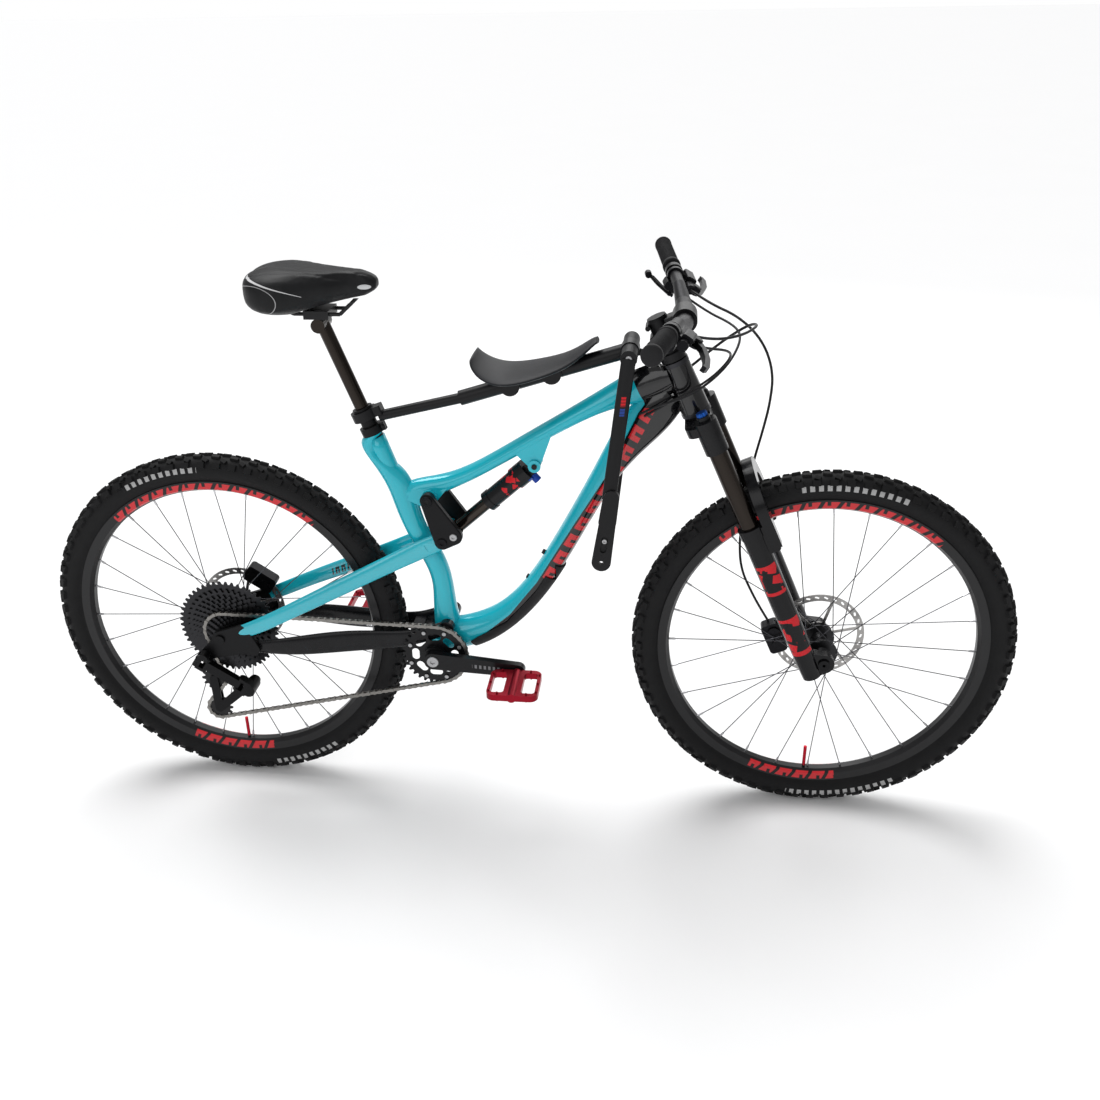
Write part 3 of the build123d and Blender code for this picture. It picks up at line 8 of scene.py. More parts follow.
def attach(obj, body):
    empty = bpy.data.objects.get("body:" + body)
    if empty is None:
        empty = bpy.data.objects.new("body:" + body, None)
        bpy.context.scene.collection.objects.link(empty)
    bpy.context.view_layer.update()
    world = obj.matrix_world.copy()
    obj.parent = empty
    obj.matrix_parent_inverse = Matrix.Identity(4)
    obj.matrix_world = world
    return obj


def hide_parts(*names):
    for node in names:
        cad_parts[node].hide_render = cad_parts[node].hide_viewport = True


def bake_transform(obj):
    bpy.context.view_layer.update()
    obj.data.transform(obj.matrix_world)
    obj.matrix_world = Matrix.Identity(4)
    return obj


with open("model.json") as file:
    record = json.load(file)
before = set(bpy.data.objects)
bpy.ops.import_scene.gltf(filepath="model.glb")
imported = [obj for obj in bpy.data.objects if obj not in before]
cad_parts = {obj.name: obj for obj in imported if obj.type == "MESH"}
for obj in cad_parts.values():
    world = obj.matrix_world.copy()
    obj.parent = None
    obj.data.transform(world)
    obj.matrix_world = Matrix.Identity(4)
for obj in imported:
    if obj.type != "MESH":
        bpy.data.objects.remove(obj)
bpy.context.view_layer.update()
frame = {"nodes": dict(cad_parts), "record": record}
nodes = frame["nodes"]

# ---- camera, light and floor

camera = {"place": (0.30046, -1.97496, 1.55396), "azimuth": 6.771, "elevation": 26.617, "roll": -1.036, "lens": 37.42}


def aimCamera(settings):
    azimuth, elevation, roll = (radians(settings[k]) for k in ("azimuth", "elevation", "roll"))
    back = Vector((sin(azimuth) * cos(elevation), -cos(azimuth) * cos(elevation), sin(elevation)))
    right = (-back).cross(Vector((0, 0, 1))).normalized()
    up = right.cross(-back)
    turned = Matrix((cos(roll) * right + sin(roll) * up, cos(roll) * up - sin(roll) * right, back)).transposed()
    lens = bpy.data.cameras.new("camera")
    lens.lens = settings["lens"]
    lens.sensor_width = 36
    holder = bpy.data.objects.new("camera", lens)
    holder.matrix_world = Matrix.Translation(settings["place"]) @ turned.to_4x4()
    bpy.context.collection.objects.link(holder)
    bpy.context.scene.camera = holder


lamps = {"sunStrength": 2.3, "sunSpread": 42, "sunAim": (0.30, -0.42, -1.0), "sky": 0.42, "aim": (0, 0, 0.5),
         "softboxes": {
    "frontSoftbox": ((-1.2, -3.0, 2.6), 2.4, 26),
    "backSoftbox": ((0.6, 2.9, 2.6), 2.6, 30),
}}


def hangLamp(name, kind, place, heading, power):
    lamp = bpy.data.lights.new(name, kind)
    lamp.energy = power
    holder = bpy.data.objects.new(name, lamp)
    holder.location = place
    holder.rotation_euler = heading.to_track_quat("-Z", "Y").to_euler()
    bpy.context.collection.objects.link(holder)
    return lamp


def hangLamps(settings):
    sun = hangLamp("sun", "SUN", (0, 0, 0), Vector(settings["sunAim"]), settings["sunStrength"])
    sun.angle = radians(settings["sunSpread"])
    for name, (place, width, power) in settings["softboxes"].items():
        hangLamp(name, "AREA", place, Vector(settings["aim"]) - Vector(place), power).size = width
    world = bpy.data.worlds.new("studio")
    world.use_nodes = True
    tree = world.node_tree
    sky = tree.nodes["Background"]
    sky.inputs["Color"].default_value = (1, 1, 1, 1)
    seen = tree.nodes.new("ShaderNodeLightPath")
    level = tree.nodes.new("ShaderNodeMix")
    level.inputs[2].default_value = settings["sky"]
    level.inputs[3].default_value = 1.0
    tree.links.new(seen.outputs["Is Camera Ray"], level.inputs[0])
    tree.links.new(level.outputs[0], sky.inputs["Strength"])
    bpy.context.scene.world = world
    bpy.context.scene.view_settings.view_transform = "Standard"


aimCamera(camera)
hangLamps(lamps)
print("camera and lamps set")

# ---- shader maths: a wire is one socket that takes part in Python sums


class Wire:
    def __init__(self, tree, socket):
        self.tree = tree
        self.socket = socket

    def maths(self, operation, *values):
        return addNode(self.tree, "ShaderNodeMath", {"operation": operation}, dict(enumerate(values)))

    def __add__(self, other):
        return self.maths("ADD", self, other)

    __radd__ = __add__

    def __sub__(self, other):
        return self.maths("SUBTRACT", self, other)

    def __rsub__(self, other):
        return self.maths("SUBTRACT", other, self)

    def __mul__(self, other):
        return self.maths("MULTIPLY", self, other)

    __rmul__ = __mul__

    def __truediv__(self, other):
        return self.maths("DIVIDE", self, other)

    def __gt__(self, other):
        return self.maths("GREATER_THAN", self, other)

    def __lt__(self, other):
        return self.maths("LESS_THAN", self, other)


def addNode(tree, kind, settings=None, values=None, out=0):
    node = tree.nodes.new(kind)
    for key, value in (settings or {}).items():
        if key == "stops":
            ramp = node.color_ramp.elements
            while len(ramp) < len(value):
                ramp.new(1)
            for element, (place, colour) in zip(ramp, value):
                element.position = place
                element.color = colour
        else:
            setattr(node, key, value)
    for key, value in (values or {}).items():
        if isinstance(value, Wire):
            tree.links.new(value.socket, node.inputs[key])
        else:
            node.inputs[key].default_value = value
    return Wire(tree, node.outputs[out])


def smallest(a, b):
    return a.maths("MINIMUM", a, b)


def largest(a, b):
    return a.maths("MAXIMUM", a, b)


def soften(value, low, high):  # 0 below low, 1 above high, smooth between
    return addNode(value.tree, "ShaderNodeMapRange", {"interpolation_type": "SMOOTHSTEP"},
                   {"Value": value, "From Min": low, "From Max": high})


def between(value, low, high, edge=0.0005):  # 1 inside the two limits
    return smallest(soften(value, low, low + edge), 1 - soften(value, high - edge, high))


def size(value):
    return value.maths("ABSOLUTE", value)


def fraction(value):
    return value.maths("FRACT", value)


def blendColours(factor, first, second):
    return addNode(factor.tree, "ShaderNodeMix", {"data_type": "RGBA"}, {0: factor, 6: first, 7: second}, 2)


def mottle(place, scale, detail=3.0, rough=0.5):
    return addNode(place.tree, "ShaderNodeTexNoise", {}, {"Vector": place, "Scale": scale, "Detail": detail,
                                                          "Roughness": rough})


def bumps(height, strength, distance):
    return addNode(height.tree, "ShaderNodeBump", {}, {"Strength": strength, "Distance": distance, "Height": height})


def axes(place):
    parts = place.tree.nodes.new("ShaderNodeSeparateXYZ")
    place.tree.links.new(place.socket, parts.inputs[0])
    return [Wire(place.tree, socket) for socket in parts.outputs]


def aroundAxle(ahead, up):
    squares = ahead * ahead + up * up
    return squares.maths("SQRT", squares), up.maths("ARCTAN2", up, ahead)


def makeFinish(name, paintIt, **fixed):
    material = bpy.data.materials.new(name)
    material.use_nodes = True
    tree = material.node_tree
    tree.nodes.clear()
    place = addNode(tree, "ShaderNodeTexCoord", out="Object")
    values = dict(fixed)
    values.update(paintIt(place))
    surface = addNode(tree, "ShaderNodeBsdfPrincipled", {}, values)
    tree.links.new(surface.socket, tree.nodes.new("ShaderNodeOutputMaterial").inputs["Surface"])
    return material


# ---- finishes

paint = {"turquoise": (0.012, 0.50, 0.60, 1), "black": (0.006, 0.006, 0.007, 1), "red": (0.62, 0.012, 0.02, 1),
         "panelEdge": ((0.377, -0.068), (0.426, -0.013), (0.499, 0.042), (0.629, 0.117), (0.726, 0.175),
                       (0.850, 0.233), (0.866, 0.244), (0.922, 0.217))}


def stepLine(height, line):  # x of a panel's edge at each height, as a ramp between two heights
    low, high = line[0][0], line[-1][0]
    stops = [((z - low) / (high - low), ((x + 0.2) / 0.6,) * 3 + (1,)) for z, x in line]
    share = addNode(height.tree, "ShaderNodeMapRange", {}, {"Value": height, "From Min": low, "From Max": high})
    return addNode(height.tree, "ShaderNodeValToRGB", {"stops": stops}, {"Fac": share}) * 0.6 - 0.2


def turquoise(place):
    return blendColours(mottle(place, 7, 2), (0.006, 0.42, 0.53, 1), (0.012, 0.52, 0.63, 1))


def framePaint(place):
    x, y, z = axes(place)
    edge = stepLine(z, paint["panelEdge"])
    black = soften(x - edge, -0.0006, 0.0006)
    flakes = mottle(place, 900, 1)
    # blocks of red along the dark panel where a name would stand
    run = fraction((x * 0.53 + z * 0.848) * 24)
    blocks = smallest(smallest(between(run, 0.08, 0.80, 0.03), between(z, 0.50, 0.86)),
                      between(x - edge, 0.004, 0.027))
    blocks = smallest(blocks, 1 - smallest(between(run, 0.34, 0.54, 0.03), soften(x - edge, 0.013, 0.0135)))
    colour = blendColours(black, turquoise(place), paint["black"])
    colour = blendColours(blocks, colour, paint["red"])
    patch = smallest(between(x, -0.055, -0.0295), between(z, 0.7775, 0.7885))
    colour = blendColours(patch, colour, (0.75, 0.76, 0.76, 1))
    return {"Base Color": colour, "Roughness": mottle(place, 55, 4) * 0.06 + 0.13,
            "Normal": bumps(flakes, 0.012, 0.0003), "Metallic": flakes * 0.12}


def plainPaint(colour, rough=0.16):
    def paintIt(place):
        dust = mottle(place, 35, 5, 0.6)
        shade = blendColours(soften(dust, 0.35, 0.75), colour, tuple(c * 1.4 + 0.002 for c in colour[:3]) + (1,))
        return {"Base Color": shade, "Roughness": dust * 0.12 + rough,
                "Normal": bumps(mottle(place, 320), 0.02, 0.0004)}
    return paintIt


def twinMarks(strip, run, blueSpan, redSpan, ground):  # a broken blue mark and a broken red one along a strip
    blue = smallest(strip, smallest(between(run, *blueSpan), 1 - between(fraction(run * 160), 0.4, 0.6, 0.05)))
    red = smallest(strip, smallest(between(run, *redSpan), 1 - between(fraction(run * 180), 0.4, 0.7, 0.05)))
    return blendColours(red, blendColours(blue, ground, (0.02, 0.06, 0.30, 1)), paint["red"])


def carrierPaint(place):
    x, y, z = axes(place)
    grain = mottle(place, 700, 2)
    nearSide = 1 - soften(y, -0.004, -0.0035)
    line = between(z - 0.843 - (x + 0.28) * 0.24, -0.0045, 0.0055)
    strip = smallest(line, nearSide)
    return {"Base Color": twinMarks(strip, x, (-0.128, -0.112), (-0.110, -0.092), (0.006, 0.006, 0.007, 1)),
            "Roughness": grain * 0.12 + 0.30,
            "Normal": bumps(grain, 0.1, 0.0004)}


def legPaint(place):
    x, y, z = axes(place)
    grain = mottle(place, 900, 2)
    strip = between(x - 0.2075 - (z - 0.88) * 0.104, -0.0045, 0.0045)
    outside = soften(size(y), 0.058, 0.0585)
    strip = smallest(strip, outside)
    return {"Base Color": twinMarks(strip, z, (0.862, 0.876), (0.879, 0.897), (0.0065, 0.0065, 0.0075, 1)),
            "Roughness": grain * 0.12 + 0.40,
            "Normal": bumps(grain, 0.2, 0.0004)}


def crankPaint(place):
    x, y, z = axes(place)
    grain = mottle(place, 260, 3)
    run = fraction(x * 110)
    line = z - 0.338 + (x + 0.164) * 0.0786
    marks = smallest(between(line, -0.0042, 0.0042), between(x, -0.085, -0.025))
    marks = smallest(marks, between(run, 0.2, 0.75, 0.05))
    marks = smallest(marks, 1 - soften(y, -0.077, -0.0765))
    return {"Base Color": blendColours(marks, (0.006, 0.006, 0.007, 1), (0.20, 0.20, 0.21, 1)),
            "Roughness": grain * 0.12 + 0.24, "Normal": bumps(grain, 0.03, 0.0003)}


def seatstayPaint(place):
    x, y, z = axes(place)
    # dark blocks on the inner face of the left stay
    middle = 0.502 + (x + 0.31) * 0.48
    run = fraction(x * 72)
    tall = between(z - middle, -0.0085, 0.0085)
    cut = smallest(between(run, 0.42, 0.62, 0.04), between(z - middle, -0.0085, 0.002))
    marks = smallest(smallest(tall, between(x, -0.395, -0.285)), smallest(between(run, 0.14, 0.86, 0.04), 1 - cut))
    inner = smallest(soften(y, 0.02, 0.0202), 1 - soften(y - (0 - x - 0.31) * 0.178, 0.0425, 0.0427))
    return {"Base Color": blendColours(marks * inner, turquoise(place), (0.008, 0.012, 0.014, 1)),
            "Roughness": mottle(place, 55, 4) * 0.06 + 0.13, "Normal": bumps(mottle(place, 900, 1), 0.012, 0.0003)}


def forkPaint(place):
    x, y, z = axes(place)
    # height along the leg, from the front axle up
    up = (x - 0.598) * -0.40674 + (z - 0.370) * 0.91355
    across = (x - 0.598) * 0.91355 + (z - 0.370) * 0.40674
    outside = soften(size(y), 0.066, 0.0665)
    cells = addNode(place.tree, "ShaderNodeTexVoronoi", {"distance": "CHEBYCHEV"}, {"Vector": place, "Scale": 46.0,
                                                                                   "Randomness": 0.85})
    ragged = soften(cells, 0.35, 0.38)
    upper = smallest(between(up, 0.180, 0.245), largest(1 - ragged, 1 - between(up, 0.187, 0.238)))
    lower = smallest(between(up, 0.040, 0.125), 1 - smallest(ragged, between(up, 0.050, 0.118)))
    patches = smallest(largest(upper, lower), between(across, -0.047, -0.010))
    colour = blendColours(patches * outside, (0.005, 0.005, 0.006, 1), paint["red"])
    return {"Base Color": colour, "Roughness": mottle(place, 60, 4) * 0.1 + 0.14,
            "Normal": bumps(mottle(place, 300), 0.02, 0.0004)}


def brushed(colour, rough, metallic=1.0, scale=180):
    def paintIt(place):
        grain = mottle(place, scale, 4, 0.7)
        return {"Base Color": blendColours(grain, tuple(c * 0.75 for c in colour[:3]) + (1,), colour),
                "Roughness": grain * 0.18 + rough, "Metallic": metallic,
                "Normal": bumps(grain, 0.05, 0.0003)}
    return paintIt


def roughPlastic(colour, rough=0.55, scale=1200, strength=0.25):
    def paintIt(place):
        grain = mottle(place, scale, 2)
        dust = mottle(place, 24, 5, 0.65)
        dusty = tuple(c * 1.5 + 0.002 for c in colour[:3]) + (1,)
        return {"Base Color": blendColours(soften(dust, 0.3, 0.8), colour, dusty),
                "Roughness": grain * 0.15 + rough, "Normal": bumps(grain, strength, 0.0004)}
    return paintIt


def tyreRubber(centre, high, low):
    def paintIt(place):
        x, y, z = axes(place)
        radius, angle = aroundAxle(x - centre[0], z - centre[1])
        dust = mottle(place, 40, 6, 0.7)
        fine = mottle(place, 700, 3)
        worn = soften(radius, 0.362, 0.370) * dust
        side = addNode(place.tree, "ShaderNodeMath", {"operation": "SINE"}, {0: radius * 2600})
        onWall = 1 - soften(radius, 0.352, 0.356)
        # pale sidewall blocks, at the top of the wheel and low at its front
        blocks = fraction(angle * 22)
        arc = largest(between(angle, *high, 0.005), between(angle, *low, 0.005))
        band = between(radius, 0.3395, 0.3505)
        marks = smallest(smallest(arc, band), between(blocks, 0.16, 0.76, 0.04))
        nearSide = soften(0 - y, 0.0, 0.002)
        colour = blendColours(worn * 0.5, (0.0060, 0.0060, 0.0066, 1), (0.026, 0.025, 0.024, 1))
        colour = blendColours(marks * nearSide, colour, (0.42, 0.42, 0.42, 1))
        return {"Base Color": colour, "Roughness": dust * 0.2 + 0.58,
                "Normal": bumps(fine * 0.6 + side * onWall * 0.15, 0.35, 0.0006)}
    return paintIt


def rimBlack(centre):
    def paintIt(place):
        x, y, z = axes(place)
        radius, angle = aroundAxle(x - centre[0], z - centre[1])
        run = fraction(angle * 9)
        high = between(angle, 0.86, 2.305, 0.005)
        low = between(angle, -1.98, -1.395, 0.005)
        band = between(radius, 0.2990, 0.3149, 0.0004)
        slant = fraction(angle * 9 + (radius - 0.3) * 16)
        shapes = between(slant, 0.12, 0.92, 0.04)
        notch = 1 - smallest(between(run, 0.36, 0.60, 0.04), soften(radius, 0.3065, 0.3070))
        red = smallest(smallest(largest(high, low), band), smallest(shapes, notch))
        grain = mottle(place, 260, 3)
        return {"Base Color": blendColours(red, (0.010, 0.010, 0.011, 1), paint["red"]),
                "Roughness": grain * 0.1 + 0.32, "Metallic": 0.35 - red * 0.35, "Normal": bumps(grain, 0.03, 0.0003)}
    return paintIt


def shockCoat(place):
    x, y, z = axes(place)
    along = (x + 0.114) * 0.743 + (z - 0.6005) * 0.669
    cells = addNode(place.tree, "ShaderNodeTexVoronoi", {"distance": "CHEBYCHEV"}, {"Vector": place, "Scale": 70.0})
    patch = smallest(between(along, 0.128, 0.169, 0.001), 1 - soften(cells, 0.36, 0.39))
    knob = soften(along, 0.1795, 0.18) * soften(0 - z + 0.742 + (x - 0.042) * 0.9, 0.02, 0.0205)
    colour = blendColours(patch, (0.008, 0.008, 0.009, 1), paint["red"])
    return {"Base Color": blendColours(knob, colour, (0.01, 0.05, 0.35, 1)),
            "Roughness": mottle(place, 90) * 0.1 + 0.15,
            "Normal": bumps(mottle(place, 300), 0.02, 0.0004)}


rearAxle = (-0.598, 0.370)
frontAxle = (0.598, 0.370)
dull = {"Specular IOR Level": 0.22}  # black parts mirror little of the white room
finishes = {
    "frame_paint": makeFinish("frame_paint", framePaint, **{"Coat Weight": 0.6, "Coat Roughness": 0.04,
                                                            "Specular IOR Level": 0.3}),
    "black_paint": makeFinish("black_paint", plainPaint((0.005, 0.005, 0.006, 1)), **dull),
    "fork_paint": makeFinish("fork_paint", forkPaint, **dull),
    "seatstay_paint": makeFinish("seatstay_paint", seatstayPaint, **{"Coat Weight": 1.0, "Coat Roughness": 0.04}),
    "rubber_guard": makeFinish("rubber_guard", roughPlastic((0.012, 0.012, 0.013, 1), 0.6), **dull),
    "dark_alloy": makeFinish("dark_alloy", brushed((0.012, 0.012, 0.013, 1), 0.3, 0.8)),
    "bearing_alloy": makeFinish("bearing_alloy", brushed((0.05, 0.05, 0.055, 1), 0.25)),
    "stanchion_coat": makeFinish("stanchion_coat", brushed((0.030, 0.024, 0.020, 1), 0.08, 0.85, 400)),
    "bar_coat": makeFinish("bar_coat", brushed((0.014, 0.014, 0.016, 1), 0.34, 0.8)),
    "grip_rubber": makeFinish("grip_rubber", roughPlastic((0.010, 0.010, 0.011, 1), 0.6, 900, 0.4), **dull),
    "control_alloy": makeFinish("control_alloy", brushed((0.010, 0.010, 0.012, 1), 0.3, 0.8)),
    "carrier_coat": makeFinish("carrier_coat", carrierPaint, **dull),
    "child_pad": makeFinish("child_pad", roughPlastic((0.008, 0.0085, 0.0105, 1), 0.42, 1500, 0.35), **dull),
    "leg_plastic": makeFinish("leg_plastic", legPaint, **dull),
    "saddle_shell": makeFinish("saddle_shell", plainPaint((0.010, 0.010, 0.011, 1), 0.3), **dull),
    "front_rim": makeFinish("front_rim", rimBlack(frontAxle)),
    "rear_rim": makeFinish("rear_rim", rimBlack(rearAxle)),
    "front_tyre": makeFinish("front_tyre", tyreRubber(frontAxle, (1.18, 1.76), (-1.70, -1.04)), **dull),
    "rear_tyre": makeFinish("rear_tyre", tyreRubber(rearAxle, (1.62, 2.10), (-1.42, -0.95)), **dull),
    "hub_alloy": makeFinish("hub_alloy", brushed((0.03, 0.03, 0.032, 1), 0.25, 0.8)),
    "spoke_steel": makeFinish("spoke_steel", brushed((0.10, 0.10, 0.11, 1), 0.25)),
    "nipple_alloy": makeFinish("nipple_alloy", brushed((0.65, 0.65, 0.67, 1), 0.22)),
    "rotor_steel": makeFinish("rotor_steel", brushed((0.42, 0.41, 0.40, 1), 0.25, 1.0, 420)),
    "cassette_steel": makeFinish("cassette_steel", brushed((0.035, 0.035, 0.038, 1), 0.28, 0.9, 300)),
    "chain_steel": makeFinish("chain_steel", brushed((0.27, 0.26, 0.245, 1), 0.28, 1.0, 600)),
    "crank_alloy": makeFinish("crank_alloy", crankPaint, **dull),
    "pedal_alloy": makeFinish("pedal_alloy", brushed((0.33, 0.006, 0.020, 1), 0.24, 0.85, 300)),
    "pin_steel": makeFinish("pin_steel", brushed((0.45, 0.45, 0.46, 1), 0.3, 1.0, 500)),
    "valve_red": makeFinish("valve_red", brushed((0.60, 0.01, 0.03, 1), 0.25, 0.8, 500)),
    "shock_coat": makeFinish("shock_coat", shockCoat, **dull),
    "shock_chrome": makeFinish("shock_chrome", brushed((0.05, 0.042, 0.036, 1), 0.05, 0.9, 500)),
    "derailleur_alloy": makeFinish("derailleur_alloy", brushed((0.010, 0.010, 0.011, 1), 0.3, 0.8)),
    "pulley_plastic": makeFinish("pulley_plastic", roughPlastic((0.014, 0.014, 0.015, 1), 0.4), **dull),
    "hose_jacket": makeFinish("hose_jacket", roughPlastic((0.010, 0.010, 0.011, 1), 0.3, 900, 0.1), **dull),
}
finishOf = {row["node"]: row["material_slot"] for row in frame["record"]["subparts"]}
byNode = {"fork_lowers": "fork_paint", "front_rim": "front_rim", "rear_rim": "rear_rim", "front_tyre": "front_tyre",
          "rear_tyre": "rear_tyre"}
for name, piece in nodes.items():
    chosen = byNode.get(name, finishOf[name])
    if chosen in finishes:
        piece.data.materials.clear()
        piece.data.materials.append(finishes[chosen])
print("finishes made", len(finishes))

# ---- mesh helpers


def asObject(name, build, smooth=True):
    work = bmesh.new()
    build(work)
    mesh = bpy.data.meshes.new(name)
    work.to_mesh(mesh)
    work.free()
    if smooth:
        mesh.shade_smooth()
    piece = bpy.data.objects.new(name, mesh)
    bpy.context.collection.objects.link(piece)
    return piece


def skinSections(work, sections, closeEnds=True):
    rows = [[work.verts.new(point) for point in section] for section in sections]
    count = len(rows[0])
    for first, second in zip(rows, rows[1:]):
        for i in range(count):
            work.faces.new((first[i], first[(i + 1) % count], second[(i + 1) % count], second[i]))
    if closeEnds:
        work.faces.new(rows[0][::-1])
        work.faces.new(rows[-1])
    bmesh.ops.recalc_face_normals(work, faces=work.faces)


def settle(piece):  # modifiers become plain mesh
    evaluated = piece.evaluated_get(bpy.context.evaluated_depsgraph_get())
    mesh = bpy.data.meshes.new_from_object(evaluated)
    piece.modifiers.clear()
    piece.data = mesh
    return piece


def finishPiece(piece, body, finish, slot, *replaced):
    piece.data.materials.clear()
    piece.data.materials.append(finishes[finish])
    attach(piece, body)
    if replaced:
        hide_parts(*replaced)
    return piece


def joinMeshes(name, pieces):
    work = bmesh.new()
    for piece in pieces:
        work.from_mesh(piece.data)
        mesh = piece.data
        bpy.data.objects.remove(piece)
        bpy.data.meshes.remove(mesh)
    mesh = bpy.data.meshes.new(name)
    work.to_mesh(mesh)
    work.free()
    joined = bpy.data.objects.new(name, mesh)
    bpy.context.collection.objects.link(joined)
    return joined


# ---- geometry trees: one repeats a shape around an axle, one along a route, one in a straight row


def newTree(name, inputs):
    tree = bpy.data.node_groups.new(name, "GeometryNodeTree")
    tree.interface.new_socket(name="Shape", in_out="INPUT", socket_type="NodeSocketGeometry")
    for label, kind in inputs.items():
        tree.interface.new_socket(name=label, in_out="INPUT", socket_type="NodeSocket" + kind)
    tree.interface.new_socket(name="Geometry", in_out="OUTPUT", socket_type="NodeSocketGeometry")
    entry = tree.nodes.new("NodeGroupInput")
    leave = tree.nodes.new("NodeGroupOutput")
    ports = {socket.name: Wire(tree, socket) for socket in entry.outputs if socket.name}
    return tree, ports, leave


def endTree(tree, leave, instances, material):
    solid = addNode(tree, "GeometryNodeRealizeInstances", {}, {"Geometry": instances})
    dressed = addNode(tree, "GeometryNodeSetMaterial", {}, {"Geometry": solid, "Material": material})
    tree.links.new(dressed.socket, leave.inputs[0])


def ringTree():
    tree, ports, leave = newTree("repeatAroundAxle", {
        "Count": "Int", "Centre": "Vector", "Radius": "Float", "Section": "Float", "Lean": "Float",
        "Start": "Float", "Span": "Float", "Twist": "Float", "Side": "Float", "Material": "Material"})
    index = addNode(tree, "GeometryNodeInputIndex")
    angle = ports["Start"] + index * (ports["Span"] / ports["Count"])
    reach = ports["Radius"] + ports["Section"] * ports["Lean"].maths("COSINE", ports["Lean"])
    height = ports["Side"] + ports["Section"] * ports["Lean"].maths("SINE", ports["Lean"])
    spot = addNode(tree, "ShaderNodeCombineXYZ", {}, {0: reach * angle.maths("SINE", angle), 1: height,
                                                      2: reach * angle.maths("COSINE", angle)})
    spot = addNode(tree, "ShaderNodeVectorMath", {"operation": "ADD"}, {0: spot, 1: ports["Centre"]})
    points = addNode(tree, "GeometryNodePoints", {}, {"Count": ports["Count"], "Position": spot})
    turn = addNode(tree, "ShaderNodeCombineXYZ", {}, {0: ports["Lean"] * -1, 1: angle})
    around = addNode(tree, "FunctionNodeEulerToRotation", {}, {0: turn})
    twist = addNode(tree, "ShaderNodeCombineXYZ", {}, {2: ports["Twist"]})
    own = addNode(tree, "FunctionNodeEulerToRotation", {}, {0: twist})
    both = addNode(tree, "FunctionNodeRotateRotation", {"rotation_space": "LOCAL"}, {0: around, 1: own})
    made = addNode(tree, "GeometryNodeInstanceOnPoints", {}, {"Points": points, "Instance": ports["Shape"],
                                                              "Rotation": both})
    endTree(tree, leave, made, ports["Material"])
    return tree


def routeTree():
    tree, ports, leave = newTree("repeatAlongRoute", {
        "Route": "Object", "Count": "Int", "Phase": "Int", "Every": "Int", "Material": "Material"})
    route = addNode(tree, "GeometryNodeObjectInfo", {"transform_space": "RELATIVE"}, {"Object": ports["Route"]},
                    "Geometry")
    curve = addNode(tree, "GeometryNodeResampleCurve", {}, {"Curve": route, "Count": ports["Count"]})
    tangent = addNode(tree, "GeometryNodeInputTangent")
    kept = addNode(tree, "GeometryNodeStoreNamedAttribute", {"data_type": "FLOAT_VECTOR"},
                   {"Geometry": curve, "Name": "along", "Value": tangent})
    points = addNode(tree, "GeometryNodeCurveToPoints", {"mode": "EVALUATED"}, {"Curve": kept})
    along = addNode(tree, "GeometryNodeInputNamedAttribute", {"data_type": "FLOAT_VECTOR"}, {"Name": "along"})
    turn = addNode(tree, "FunctionNodeAlignRotationToVector", {"axis": "X", "pivot_axis": "Y"}, {"Vector": along})
    index = addNode(tree, "GeometryNodeInputIndex")
    picked = addNode(tree, "FunctionNodeCompare", {"data_type": "FLOAT", "operation": "EQUAL"},
                     {0: index.maths("MODULO", index, ports["Every"]), 1: ports["Phase"]})
    made = addNode(tree, "GeometryNodeInstanceOnPoints", {}, {"Points": points, "Selection": picked,
                                                              "Instance": ports["Shape"], "Rotation": turn})
    endTree(tree, leave, made, ports["Material"])
    return tree


def rowTree():
    tree, ports, leave = newTree("repeatInRow", {
        "Count": "Int", "Start": "Vector", "Step": "Vector", "Turn": "Vector", "Material": "Material"})
    line = addNode(tree, "GeometryNodeMeshLine", {}, {"Count": ports["Count"], "Start Location": ports["Start"],
                                                      "Offset": ports["Step"]})
    turn = addNode(tree, "FunctionNodeEulerToRotation", {}, {0: ports["Turn"]})
    made = addNode(tree, "GeometryNodeInstanceOnPoints", {}, {"Points": line, "Instance": ports["Shape"],
                                                              "Rotation": turn})
    endTree(tree, leave, made, ports["Material"])
    return tree


trees = {"ring": ringTree(), "route": routeTree(), "row": rowTree()}


def repeat(name, tree, build, finish, smooth=False, **inputs):
    piece = asObject(name, build, smooth)
    modifier = piece.modifiers.new("repeat", "NODES")
    modifier.node_group = trees[tree]
    inputs["Material"] = finishes[finish]
    for socket in trees[tree].interface.items_tree:
        if socket.in_out == "INPUT" and socket.name in inputs:
            modifier[socket.identifier] = inputs[socket.name]
    return settle(piece)


def chamferedBlock(length, width, height, top=0.75, sink=0.002):
    def build(work):
        low = [(sx * length / 2, sy * width / 2, -sink) for sx, sy in ((-1, -1), (1, -1), (1, 1), (-1, 1))]
        high = [(x * top, y * top, height) for x, y, z in low]
        skinSections(work, [low, high])
    return build


def roundBar(radius, low, high, sides=12, end=0.0):
    def build(work):
        rings = [(low, radius - end), (low + end, radius), (high - end, radius), (high, radius - end)]
        if end == 0:
            rings = [(low, radius), (high, radius)]
        skinSections(work, [[(r * cos(2 * pi * i / sides), r * sin(2 * pi * i / sides), z) for i in range(sides)]
                            for z, r in rings])
    return build


# ---- tyres: casing, then knobs in rows

